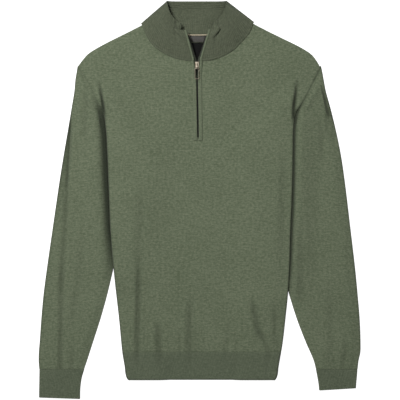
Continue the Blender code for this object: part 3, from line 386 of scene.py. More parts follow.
    # Widths of the painted shade on each sleeve beside the body.
    painted_shade_widths: dict[Side, float] = each(11.0, 4.0)
    back_neck: tuple[tuple[float, float], ...] = ((-62.0, 337.6), (-3.0, 333.0), (56.0, 338.4))
    body_folds: tuple[Fold, ...] = folds(
        (-125, -304, -121, -150, 4.5, 3.4, 1.1), (-121, -150, -116, 20, 8, 1, 0.3),
        (-80, -304, -83, -248, 6, 2.8, 0.9), (-21, -304, -18, -205, 6.5, 2.6, 0.8),
        (119, -268, 106, -205, 6, 2.9, 0.9), (138, -304, 122, -264, 4.5, 2.4, 0.6),
        (156, -304, 150, -215, 6, 1.2, 0.4), (166, -90, 168, 90, 7, 0.9, 0.3),
        (-38, -304, -40, -262, 4, 0.8, 0.3), (-9, -304, -8, -255, 4, 0.7, 0.3),
        (52, -304, 60, -240, 5, 0.9, 0.3), (72, -304, 74, -270, 4, 0.7, 0.2),
    )
    sleeve_folds: dict[Side, tuple[Fold, ...]] = each(
        folds(
            (-278.6, -338, -275.5, -150, 4.5, 2.4, 0.8), (-275, -150, -264.5, 20, 4.5, 2.2, 0.8),
            (-264.5, 40, -257, 158, 3, 2.6, 1), (-230, 139, -228, 222, 5, 1.3, 0.5),
            (-208, 199, -214, 226, 4, 1.4, 0.4), (-196, 150, -204, 196, 2, 2, 0.5),
            (-252, -230, -234, -80, 7, 1.1, 0.3), (-256, -338, -252, -296, 5, 1.3, 0.4),
        ),
        folds(
            (202, -190, 199, -50, 8, 1.4, 0.4), (290, -326, 294, -280, 5, 1.3, 0.4),
            (262, -320, 262, -180, 8, 0.8, 0.3), (256.5, 174, 246.5, 223, 2.6, 3.2, 1),
            (253, 128, 256.5, 174, 4.5, 1.6, 0.5), (246, 90, 244, 150, 5, 1.2, 0.5),
            (190, 150, 201, 192, 1.8, 1.6, 0.5),
        ),
    )
    front_slack: Slack = Slack(11, 0.16, 52.0)
    sleeve_slack: Slack = Slack(23, 0.14, 34.0)

    @property
    def front_radius(self) -> float:
        """Radius of the front panel's turn at the side fold."""
        return 3 * (self.knit + self.layer_gap) / 2

    @property
    def back_radius(self) -> float:
        """Radius of the back panel's turn, inside the front's."""
        return (self.knit + self.layer_gap) / 2

    @property
    def fold_centre(self) -> float:
        """Distance from the body's edge to the centre of both turns."""
        return self.front_radius + self.knit / 2

    @property
    def sleeve_cover(self) -> float:
        """Height that a sleeve takes under the body."""
        return 2 * self.knit + self.tube_gap + 0.8

    def edge(self, side: Side, y: Array | float) -> Array:
        """X of the body's edge."""
        return self.side_edge.at(side.value, y)

    def inside(self, side: Side, x: Array, y: Array) -> Array:
        """How far a place lies inside the body's edge."""
        return side.inward * (x - self.edge(side, y))

    def layer_height(self, layer: Layer, side: Side, x: Array, y: Array,
                     fall: float | None = None) -> Array:
        """Height that a hidden layer under the body's side gives the layers above it.

        Args:
            layer: which hidden layer.
            side: which side.
            x: places across.
            y: places along.
            fall: width over which the height falls away past the layer's edge.

        Returns:
            The heights.
        """
        cover, margin, usual = {
            Layer.SLEEVE: (self.sleeve_cover, 11.0, self.back_falls[0]),
            Layer.TUCK: (2 * (self.knit + self.layer_gap), 3.0, self.back_falls[1]),
        }[layer]
        rise = smooth((self.settle_top - y) / self.settle_width)
        if layer is Layer.SLEEVE:
            rise = rise * smooth((y - self.cover_start[side] + 50.0) / 50.0)
        reach = self.tuck.straight(layer.value + "_" + side.value, y)
        past = (self.inside(side, x, y) - reach - margin) / (fall or usual)
        return cover * rise * (1 - smooth(past))

    def back_height(self, x: Array, y: Array, falls: tuple[float, float] | None = None) -> Array:
        """Middle of the back panel's wall, or what the front bridges over with wider falls.

        Args:
            x: places across.
            y: places along.
            falls: widths over which the sleeve and the tucked side fall away.

        Returns:
            The heights.
        """
        pairs = tuple(zip(Layer, falls or self.back_falls))
        heights = (sum(self.layer_height(layer, side, x, y, fall) for layer, fall in pairs)
                   for side in Side)
        stack = np.where(x < self.zip_foot_x, *heights)
        return self.knit / 2 + np.maximum(0.0, stack + self.crease_step(x, y))

    def crease_step(self, x: Array, y: Array) -> Array:
        """The front's trough that carries the side fold's line on to the shoulder.

        Args:
            x: places across.
            y: places along.

        Returns:
            What it adds to the height.
        """
        total = np.zeros(np.broadcast(x, y).shape)
        for side in Side:
            out = side.inward * (self.crease.at(side.value, y) - x)
            depth = np.maximum(0.0, self.crease.straight(side.value + "_depth", y))
            total = total - depth * (bell(out / self.crease_half) - 0.3 * bell((out + 6.5) / 4.0))
        return total

    def beside_body(self, side: Side, x: Array, y: float) -> Array:
        """The sleeve's rise beside the body's edge, which leaves a deep crease between them.

        Args:
            side: which sleeve.
            x: places across.
            y: places along.

        Returns:
            The heights.
        """
        out = np.maximum(0.0, 0.8 - self.inside(side, x, y))
        width = self.rise_widths[side]
        amount = float(self.sleeve_rise.straight(side.value, y))
        return amount * (1 - np.exp(-out / width)) * (1 - smooth((out - 12.0) / self.rise_fall))

    def painted_shade_on_sleeve(self, side: Side, x: Array, y: Array) -> Array:
        """Painted shade on a sleeve: darker colour beside the body, in its folds, along its outer
        edge, on its rim and beside the armhole seam.

        Args:
            side: which sleeve.
            x: places across.
            y: places along.

        Returns:
            Shares from 0 to 1.
        """
        out = -self.inside(side, x, y)
        share = self.rise_shade * self.sleeve_rise.straight(side.value, y) / self.rise_full
        near = bell(np.maximum(0.0, out - 1.5) / self.painted_shade_widths[side])
        near = near * smooth((out + 12.0) / 6.0)
        folds = sum(fold.trough(x, y) for fold in self.sleeve_folds[side])
        # Painted shadow along the sleeve's outer edge, and painted shade on its rim above the cuff.
        strip = smooth(side.inward * (self.painted_outer_shadow.at(side.value, y) - x) / 2.0 + 0.5)
        strip = strip * np.maximum(0.0, self.painted_outer_shadow.straight(side.value + "_shade", y))
        rim = bell(side.inward * (x - self.sleeve_outer.at(side.value, y)) / self.rim_width)
        rim = self.rim_shade * rim * smooth((y - self.cuff_top) / 10.0)
        total = share * near + self.fold_shade * folds + strip + rim
        return np.clip(total + self.painted_shade_beside_armhole(side, x, y), 0.0, 1.0)

    def painted_shade_beside_armhole(self, side: Side, x: Array, y: Array) -> Array:
        """Painted shade beside the armhole seam at each place, from 0 to 1."""
        near = bell(self.inside(side, x, y) / self.armhole_half)
        return self.armhole_shades[side] * near * smooth((y - self.tuck_top) / self.shoulder_run)

    def painted_shade_on_hem(self, x: Array, y: Array) -> Array:
        """Painted shade on the hem: darker colour under the body's folds, along its bottom rim and
        on its sides' turns.

        Args:
            x: places across.
            y: places along.

        Returns:
            Shares from 0 to 1.
        """
        fade = smooth((y - self.hem_bottom) / (self.hem_top - self.hem_bottom)) ** 3
        folds = sum(fold.trough(x, np.full_like(y, self.hem_top)) for fold in self.body_folds)
        rim = self.rim_shade * bell((y - self.hem_bottom) / self.rim_width)
        return self.hem_shade * self.fold_shade * folds * fade + rim + self.painted_rim_shade_beside(x, y)

    def painted_rim_shade_beside(self, x: Array, y: Array) -> Array:
        """Painted shade on the turn of each side of the body at each place, from 0 to 1."""
        return self.rim_shade * sum(bell(self.inside(side, x, y) / self.rim_width) for side in Side)

    def painted_shade_on_front(self, x: Array, y: Array) -> Array:
        """Painted shade on the front: darker colour on its sides' turns, in its long creases and
        folds, and beside the armhole seams.

        Args:
            x: places across.
            y: places along.

        Returns:
            Shares from 0 to 1.
        """
        total = smooth((self.tuck_top - y) / 40.0) * self.painted_rim_shade_beside(x, y)
        for side in Side:
            out = side.inward * (self.crease.at(side.value, y) - x)
            depth = np.maximum(0.0, self.crease.straight(side.value + "_depth", y))
            total = total + depth / self.crease_full * bell(out / (1.4 * self.crease_half))
            total = total + self.painted_shade_beside_armhole(side, x, y)
        folds = sum(fold.trough(x, y) for fold in self.body_folds)
        return np.clip(total + self.fold_shade * folds, 0.0, 1.0)

    def front_height(self, x: Array, y: Array) -> Array:
        """Middle of the front panel's wall.

        Args:
            x: places across.
            y: places along.

        Returns:
            The heights.
        """
        x, y = np.asarray(x, float), np.asarray(y, float)
        d = np.where(x < self.zip_foot_x, *(self.inside(side, x, y) for side in Side))
        hem = 0.4 + 0.6 * smooth((y - self.hem_top) / 50.0)
        gap = self.layer_gap + self.pillow * hem * smooth(d / 36.0)
        lift = self.neck_lift * bell((x + 4) / 62.0) * bell((y - 285.0) / 48.0)
        folds = sum(fold.height(x, y) for fold in self.body_folds) * smooth(d / 14.0)
        folds = folds + self.front_slack.at(x, y) * smooth(d / 30.0) * hem
        low = self.back_height(x, y, self.front_falls) + self.knit
        seam = bell((y - self.hem_top) / self.seam_half) * smooth(d / 8.0)
        armhole = bell(d / self.seam_half) * smooth((y - self.tuck_top - self.shoulder_run) / 14.0)
        dip = self.seam_dip * (seam + armhole)
        return low + np.maximum(self.layer_gap, gap + folds + lift) - dip

    def seam_start(self, y: Array | float) -> Array:
        """Distance from the body's edge where a panel's top run begins."""
        opened = smooth((y - self.tuck_top) / self.seam_turn)
        return self.fold_centre - (self.seam_overlap + self.fold_centre) * opened

    def zip_x(self, y: Array | float) -> Array:
        """The zip's centre line."""
        share = smooth((y - self.slit_bottom) / 150.0)
        return self.zip_foot_x + (self.zip_neck_x - self.zip_foot_x) * share

    def slit_edge(self, side: Side, y: Array | float) -> Array:
        """The front panel's edge along the zip."""
        half = self.slit_half * smooth((y - self.slit_bottom + 1.0) / 12.0)
        return self.zip_x(y) - side.inward * half

    def sleeve_inner(self, side: Side, y: float) -> float:
        """The sleeve's inner edge: its own fold, or the armhole seam above the underarm.

        Args:
            side: which sleeve.
            y: the row's height on the plan.

        Returns:
            X of the edge.
        """
        if y < self.armhole_foot:
            return float(self.sleeve_inner_edge.at(side.value, y))
        tucked = float(self.tuck.straight("sleeve_" + side.value, y))
        foot = float(smooth((self.tuck_top + self.shoulder_run - y) / self.shoulder_run))
        least = self.seam_overlap + self.foot_overlap * foot
        return float(self.edge(side, y)) + side.inward * max(tucked, least)

    def armhole_share(self, y: float) -> float:
        """How far a row of a sleeve has come up to the armhole seam, from 0 to 1."""
        return float(smooth((y - self.tuck_top + 5.0) / 18.0))

    def sleeve_top(self, side: Side, x: Array, y: float) -> Array:
        """Middle of the sleeve's upper wall along one row.

        Args:
            side: which sleeve.
            x: places across.
            y: the row's height on the plan.

        Returns:
            The heights.
        """
        sign, share = side.inward, self.armhole_share(y)
        from_outer = sign * (x - self.sleeve_outer.at(side.value, y))
        low = self.knit / 2 + self.knit + self.tube_gap
        clear = smooth((-self.inside(side, x, y) - 1.0) / 16.0)
        from_inner = sign * (self.sleeve_inner(side, y) - x)
        folds = sum(fold.height(x, y) for fold in self.sleeve_folds[side])
        folds = (folds + self.sleeve_slack.at(x, y)) * clear * smooth(from_outer / 7.0)
        folds = folds + self.beside_body(side, x, y) * smooth(from_outer / 22.0)
        rise = self.sleeve_pillow * smooth(from_outer / 22.0) * clear
        if y > self.tuck_top - 15:
            seam = self.front_height(self.edge(side, y) + sign * self.seam, y)
            near = 1 - smooth(from_inner / 30.0)
            flush = low + rise + folds * smooth(from_inner / 20.0)
            return flush + share * (seam - low) * near
        body = smooth(from_inner / 20.0) if y < self.body_meets_sleeve else 1.0
        hem = 0.35 + 0.65 * float(smooth((y - self.cuff_top) / 40.0))
        return low + np.maximum(-0.5, rise * hem * body + folds)

    def sleeve_low(self, side: Side, x: Array, y: float) -> Array:
        """Middle of the sleeve's lower wall along one row.

        Args:
            side: which sleeve.
            x: places across.
            y: the row's height on the plan.

        Returns:
            The heights.
        """
        near = 1 - smooth(side.inward * (self.sleeve_inner(side, y) - x) / 30.0)
        seam = self.back_height(self.edge(side, y) + side.inward * self.seam, y)
        return self.knit / 2 + (seam - self.knit / 2) * near * self.armhole_share(y)


# --- Finishes ---


Feeds = dict[str | int, object]
Colour = tuple[float, float, float]


class Wiring:
    """Short calls that write a node tree."""

    def __init__(self, tree: object) -> None:
        """Takes the tree to write in."""
        self.tree = tree

    def node(self, kind: str, values: Feeds | None = None, **settings: object) -> object:
        """A new node.

        Args:
            kind: the node's type.
            values: what feeds its sockets, by name or number: other sockets or plain values.
            **settings: the node's own settings.

        Returns:
            The node.
        """
        made = self.tree.nodes.new(kind)
        for name, value in settings.items():
            setattr(made, name, value)
        self.feed(made, values or {})
        return made

    def feed(self, node: object, values: Feeds) -> None:
        """Feeds a node's sockets.

        Args:
            node: the node.
            values: other sockets or plain values, by the socket's name or number.
        """
        for key, value in values.items():
            if isinstance(value, bpy.types.NodeSocket):
                self.tree.links.new(value, node.inputs[key])
            else:
                node.inputs[key].default_value = value

    def group(self, effect: type["Effect"], **values: object) -> object:
        """The outputs of an effect's group, fed by the names of its sockets."""
        return self.node("ShaderNodeGroup", values, node_tree=effect.group_tree()).outputs

    def math(self, operation: str, *values: object, clamped: bool = False) -> object:
        """The result of a math node."""
        settings = {"operation": operation, "use_clamp": clamped}
        return self.node("ShaderNodeMath", dict(enumerate(values)), **settings).outputs[0]

    def blend(self, share: object, first: object, second: object) -> object:
        """A mix of two colours."""
        values = {0: share, 6: first, 7: second}
        return self.node("ShaderNodeMix", values, data_type="RGBA").outputs[2]

    def spread(self, value: object, low: float, high: float) -> object:
        """A value's share of the way from low to high, kept between 0 and 1."""
        return self.node("ShaderNodeMapRange", {0: value, 1: low, 2: high}, clamp=True).outputs[0]

    def scaled(self, vector: object, scale: Sequence[float], turn: float = 0.0) -> object:
        """A coordinate, scaled and turned."""
        return self.node("ShaderNodeMapping", {0: vector, 2: (0.0, 0.0, turn), 3: scale}).outputs[0]

    def noise(self, vector: object, scale: float, detail: float, rough: float = 0.5) -> object:
        """A noise value."""
        values = {"Vector": vector, "Scale": scale, "Detail": detail, "Roughness": rough}
        return self.node("ShaderNodeTexNoise", values).outputs[0]

    def bump(self, height: object, depth: float, strength: float) -> object:
        """Normals of a height."""
        values = {"Height": height, "Distance": depth, "Strength": strength}
        return self.node("ShaderNodeBump", values).outputs[0]


class Effect(Wiring):
    """A node group that several finishes share, built once. Its inputs have their first values."""

    name: str
    inputs: dict[str, float | None]
    outputs: tuple[str, str]
    kinds = dict.fromkeys(("Cloth", "Place"), "Vector") | dict.fromkeys(
        ("Light", "Dark", "Color"), "Color")

    @classmethod
    def group_tree(cls) -> object:
        """The group, written on its first use.

        Returns:
            The node group.
        """
        made = bpy.data.node_groups.get(cls.name)
        if made is None:
            made = bpy.data.node_groups.new(cls.name, "ShaderNodeTree")
            for way, labels in (("INPUT", cls.inputs), ("OUTPUT", cls.outputs)):
                for label in labels:
                    kind = "NodeSocket" + cls.kinds.get(label, "Float")
                    made.interface.new_socket(label, in_out=way, socket_type=kind)
            for socket in made.interface.items_tree:
                if socket.in_out == "INPUT" and cls.inputs[socket.name] is not None:
                    socket.default_value = cls.inputs[socket.name]
            effect = cls(made)
            results = effect.write(effect.node("NodeGroupInput").outputs)
            effect.feed(effect.node("NodeGroupOutput"), dict(zip(cls.outputs, results)))
        return made

    def write(self, given: object) -> tuple[object, object]:
        """Writes the nodes and gives what feeds each output."""
        raise NotImplementedError


class Stitches(Effect):
    """Plain knit: columns of V-shaped loops. Puts out their height and the shade between them."""

    name = "knit_stitches"
    inputs = {"Cloth": None, "Wale": 1.6, "Course": 1.15}
    outputs = ("Height", "Gap")

    def write(self, given: object) -> tuple[object, object]:
        """Writes the loops.

        Args:
            given: the group's inputs.

        Returns:
            The height and the gap.
        """
        place = self.node("ShaderNodeSeparateXYZ", {0: given["Cloth"]}).outputs
        wobble = self.math("SUBTRACT", self.noise(given["Cloth"], 160.0, 1.0), 0.5)
        u = self.math("DIVIDE", self.math("MULTIPLY", place[0], 1000.0), given["Wale"])
        v = self.math("DIVIDE", self.math("MULTIPLY", place[1], 1000.0), given["Course"])
        across = self.math("FRACT", self.math("ADD", u, self.math("MULTIPLY", wobble, 0.5)))
        leg = self.math("MULTIPLY", self.math("ABSOLUTE", self.math("SUBTRACT", across, 0.5)), 2.0)
        rise = self.math("FRACT", self.math("ADD", v, self.math("MULTIPLY", leg, 0.55)))
        ridge = self.math("POWER", self.math("SINE", self.math("MULTIPLY", leg, math.pi)), 0.7)
        bow = self.math("SINE", self.math("MULTIPLY", rise, math.pi))
        height = self.math("MULTIPLY", ridge, self.math("MULTIPLY_ADD", bow, 0.55, 0.45))
        return height, self.math("SUBTRACT", 1.0, height, clamped=True)


class Heather(Effect):
    """The mixed yarn: level streaks, faint wales, blotches and flecks. Puts out a colour."""

    name = "heather"
    inputs = {"Cloth": None, "Light": None, "Dark": None, "Contrast": 1.0}
    outputs = ("Color", "Mask")

    def write(self, given: object) -> tuple[object, object]:
        """Writes the yarn.

        Args:
            given: the group's inputs.

        Returns:
            The colour, and the share of the light yarn.
        """
        cloth = given["Cloth"]
        total: object = 0.5
        for stretch, scale, detail, rough, share in (
            ((0.40, 1, 1), 430.0, 2.0, 0.6, 1.5),  # streaks
            ((0.06, 1, 1), 640.0, 1.0, 0.5, 0.7),  # courses
            ((1, 0.22, 1), 360.0, 1.0, 0.5, 0.5),  # wales
            ((0.8, 1, 1), 230.0, 3.0, 0.65, 1.6),  # blotches
            ((1, 1, 1), 14.0, 2.0, 0.5, 0.35),  # large clouds
            ((1, 1, 1), 1500.0, 1.0, 0.5, 1.5),  # flecks
        ):
            place = cloth if stretch == (1, 1, 1) else self.scaled(cloth, stretch)
            value = self.math("SUBTRACT", self.noise(place, scale, detail, rough), 0.5)
            total = self.math("MULTIPLY_ADD", value, share, total)
        centred = self.math("MULTIPLY", self.math("SUBTRACT", total, 0.5), given["Contrast"])
        mask = self.math("ADD", centred, 0.5, clamped=True)
        return self.blend(mask, given["Dark"], given["Light"]), mask


class Fuzz(Effect):
    """Loose fibre ends over the yarn: a fine height and a faint pale mask."""

    name = "fibre_fuzz"
    inputs = {"Place": None, "Density": 0.5}
    outputs = ("Height", "Mask")

    def write(self, given: object) -> tuple[object, object]:
        """Writes the fibres.

        Args:
            given: the group's inputs.

        Returns:
            The height and the mask.
        """
        hairs = self.node("ShaderNodeTexVoronoi", {"Vector": given["Place"], "Scale": 900.0},
                          feature="DISTANCE_TO_EDGE")
        thin = self.math("SUBTRACT", 1.0, self.spread(hairs.outputs[0], 0.0, 0.08))
        fine = self.noise(given["Place"], 2600.0, 3.0, 0.7)
        return fine, self.math("MULTIPLY", thin, given["Density"])


class Weave(Effect):
    """A woven narrow cloth: diagonal ribs crossed by fine threads."""

    name = "narrow_weave"
    inputs = {"Cloth": None, "Thread": 0.4, "Slant": 0.5}
    outputs = ("Height", "Mask")

    def write(self, given: object) -> tuple[object, object]:
        """Writes the weave.

        Args:
            given: the group's inputs.

        Returns:
            The height and the mask.
        """
        place = self.node("ShaderNodeSeparateXYZ", {0: given["Cloth"]}).outputs
        step = self.math("DIVIDE", 1000.0, given["Thread"])
        u, v = (self.math("MULTIPLY", place[axis], step) for axis in (0, 1))
        slanted = self.math("ADD", u, self.math("MULTIPLY", v, given["Slant"]))
        rib = self.math("ABSOLUTE", self.math("SINE", self.math("MULTIPLY", slanted, math.pi)))
        thread = self.math("SINE", self.math("MULTIPLY", v, 2 * math.pi))
        both = self.math("MULTIPLY_ADD", rib, 0.7, self.math("MULTIPLY", thread, 0.15))
        return both, self.math("MULTIPLY_ADD", both, 0.8, 0.15, clamped=True)


class Wear(Effect):
    """Handling: a mask of rubbed patches and fine scratches."""

    name = "handling_wear"
    inputs = {"Place": None, "Amount": 0.5}
    outputs = ("Mask", "Scratch")

    def write(self, given: object) -> tuple[object, object]:
        """Writes the wear.

        Args:
            given: the group's inputs.

        Returns:
            The mask and the scratches.
        """
        place = given["Place"]
        patches = self.spread(self.noise(place, 420.0, 4.0, 0.65), 0.42, 0.62)
        scratch = self.noise(self.scaled(place, (1.0, 0.08, 1.0), 0.5), 2400.0, 2.0)
        return self.math("MULTIPLY", patches, given["Amount"]), self.spread(scratch, 0.55, 0.75)


def rgba(colour: Colour, share: float = 1.0) -> tuple[float, float, float, float]:
    """A colour with full cover, made darker or lighter."""
    return (*(min(1.0, value * share) for value in colour), 1.0)


@dataclass(frozen=True)
class Finish:
    """A finish: its material's name, and a slot name that nothing in the script reads."""

    name: str
    slot: str

    def start(self) -> tuple[object, Wiring, object, object]:
        """A new material.

        Returns:
            The material, its wiring, its main shader and the object's own coordinates.
        """
        made = bpy.data.materials.new(self.name)
        made.use_nodes = True
        w = Wiring(made.node_tree)
        place = w.node("ShaderNodeTexCoord").outputs["Object"]
        return made, w, made.node_tree.nodes["Principled BSDF"], place

    def paint(self) -> object:
        """Builds the material."""
        raise NotImplementedError

    def material(self) -> object:
        """The material, built once."""
        return bpy.data.materials.get(self.name) or self.paint()


@dataclass(frozen=True)
class Knit(Finish):
    """Fine knit of a mixed green yarn, plain or ribbed, with a soft nap."""

    light: Colour
    dark: Colour
    contrast: float = 1.0
    wale: float = 1.6
    course: float = 1.15
    relief: float = 0.00045
    rib_pitch: float = 0.0
    rib_relief: float = 0.0
    sheen: float = 0.12
    crease_shade: float = 0.9

    def paint(self) -> object:
        """Builds the material.

        Returns:
            The material.
        """
        made, w, shader, place = self.start()
        cloth = w.node("ShaderNodeUVMap", uv_map="cloth").outputs[0]
        yarn = w.group(Heather, Cloth=cloth, Light=rgba(self.light), Dark=rgba(self.dark),
                       Contrast=self.contrast)
        loops = w.group(Stitches, Cloth=cloth, Wale=self.wale, Course=self.course)
        nap = w.group(Fuzz, Place=place, Density=0.35)
        # Painted shade: the gaps between loops are painted darker.
        gap = w.math("MULTIPLY", w.math("POWER", loops["Gap"], 2.0), 0.34)
        deep = rgba(self.dark, 0.45)
        colour = w.blend(gap, yarn["Color"], deep)
        height = w.math("MULTIPLY_ADD", nap["Height"], 0.22, loops["Height"])
        if self.rib_pitch:
            across = w.node("ShaderNodeSeparateXYZ", {0: cloth}).outputs[0]
            turns = w.math("MULTIPLY", across, 2000.0 * math.pi / self.rib_pitch)
            rib = w.math("MULTIPLY_ADD", w.math("SINE", turns), 0.5, 0.5)
            # Painted shade in the rib's valleys.
            colour = w.blend(w.math("MULTIPLY", w.math("SUBTRACT", 1.0, rib), 0.3), colour, deep)
            height = w.math("MULTIPLY_ADD", rib, self.rib_relief / self.relief, height)
        # Painted shade read from each piece's point attribute darkens creases, turned-down slopes
        # and rims.
        crease = w.node("ShaderNodeAttribute", attribute_name="deep").outputs["Fac"]
        crease = w.math("MULTIPLY", crease, self.crease_shade)
        colour = w.blend(crease, colour, rgba(self.dark, 0.2))
        colour = w.blend(w.math("MULTIPLY", nap["Mask"], 0.3), colour, rgba(self.light, 1.5))
        w.feed(shader, {
            "Base Color": colour,
            "Normal": w.bump(height, self.relief, 0.8),
            "Roughness": w.math("MULTIPLY_ADD", yarn["Mask"], -0.08, 0.94),
            "Specular IOR Level": 0.22,
            "Sheen Weight": self.sheen,
            "Sheen Roughness": 0.45,
            "Sheen Tint": (0.80, 0.86, 0.74, 1.0),
        })
        return made


@dataclass(frozen=True)
class Woven(Finish):
    """A narrow woven cloth, such as a tape, a piping or a label."""

    light: Colour
    dark: Colour
    thread: float = 0.4
    slant: float = 0.5
    gloss: float = 0.5
    specular: float = 0.3
    relief: float = 0.00012

    def paint(self) -> object:
        """Builds the material.

        Returns:
            The material.
        """
        made, w, shader, _ = self.start()
        cloth = w.node("ShaderNodeUVMap", uv_map="cloth").outputs[0]
        weave = w.group(Weave, Cloth=cloth, Thread=self.thread, Slant=self.slant)
        yarn = w.group(Heather, Cloth=cloth, Light=rgba(self.light), Dark=rgba(self.dark),
                       Contrast=0.8)
        shade = w.math("MULTIPLY", w.math("SUBTRACT", 1.0, weave["Mask"]), 0.45)
        w.feed(shader, {
            "Base Color": w.blend(shade, yarn["Color"], rgba(self.dark, 0.35)),
            "Normal": w.bump(weave["Height"], self.relief, 0.7),
            "Roughness": w.math("MULTIPLY_ADD", yarn["Mask"], 0.12, 0.88 - self.gloss * 0.6),
            "Specular IOR Level": self.specular,
        })
        return made


@dataclass(frozen=True)
class Metal(Finish):
    """Antique metal: a dark plating, rubbed brighter where hands reach it."""

    plated: Colour
    rubbed: Colour
    rough: float = 0.34

    def paint(self) -> object:
        """Builds the material.

        Returns:
            The material.
        """
        made, w, shader, place = self.start()
        wear = w.group(Wear, Place=place, Amount=0.8)
        w.feed(shader, {
            "Base Color": w.blend(wear["Mask"], rgba(self.plated), rgba(self.rubbed)),
            "Roughness": w.math("MULTIPLY_ADD", wear["Scratch"], 0.16, self.rough),
            "Metallic": 1.0,
            "Normal": w.bump(wear["Scratch"], 0.00003, 0.5),
        })
        return made


@dataclass(frozen=True)
class Coil(Finish):
    """Moulded nylon teeth, dyed dark, with a dull shine and slight wear."""

    colour: Colour

    def paint(self) -> object:
        """Builds the material.

        Returns:
            The material.
        """
        made, w, shader, place = self.start()
        wear = w.group(Wear, Place=place, Amount=0.6)
        w.feed(shader, {
            "Base Color": w.blend(wear["Mask"], rgba(self.colour), rgba(self.colour, 3.0)),
            "Roughness": w.math("MULTIPLY_ADD", wear["Scratch"], 0.2, 0.4),
            "Specular IOR Level": 0.2,
        })
        return made


KNIT = Knit("green_knit", "knit", light=(0.186, 0.216, 0.140), dark=(0.094, 0.120, 0.070),
            contrast=1.25)
RIB = Knit("green_rib", "rib", light=(0.160, 0.188, 0.124), dark=(0.090, 0.112, 0.070),
           rib_pitch=3.2, rib_relief=0.0007)
COLLAR_RIB = Knit("collar_rib", "rib", light=(0.140, 0.158, 0.104), dark=(0.078, 0.092, 0.058),
                  rib_pitch=3.2, rib_relief=0.0005)
EDGING = Knit("edging_knit", "knit", light=(0.190, 0.220, 0.142), dark=(0.110, 0.138, 0.084),
              wale=1.2, course=0.9)
SATIN = Woven("neck_satin", "satin", light=(0.066, 0.062, 0.052), dark=(0.028, 0.026, 0.022),
              thread=0.45, gloss=0.85)
PIPING = Woven("pale_piping", "piping", light=(0.52, 0.46, 0.34), dark=(0.33, 0.28, 0.19),
               thread=0.7, slant=0.0)
LABEL = Woven("label_cloth", "label", light=(0.008, 0.008, 0.008), dark=(0.003, 0.003, 0.003),
              thread=0.35, gloss=0.6, specular=0.08)
TAPE = Woven("zip_tape_cloth", "tape", light=(0.060, 0.072, 0.046), dark=(0.028, 0.034, 0.022),
             thread=0.6, slant=0.8)
NICKEL = Metal("antique_metal", "metal", plated=(0.20, 0.165, 0.12), rubbed=(0.58, 0.53, 0.44))
COIL = Coil("zip_coil", "tape", colour=(0.006, 0.006, 0.005))
YARN = Knit("seam_yarn", "knit", light=(0.200, 0.232, 0.150), dark=(0.120, 0.148, 0.092), sheen=0.2)


# --- Meshes ---


@dataclass
class Patch:
    """A grid of places in millimetres, with the cloth's own run across and along it."""

    places: Array
    run: Array
    turned: bool = False


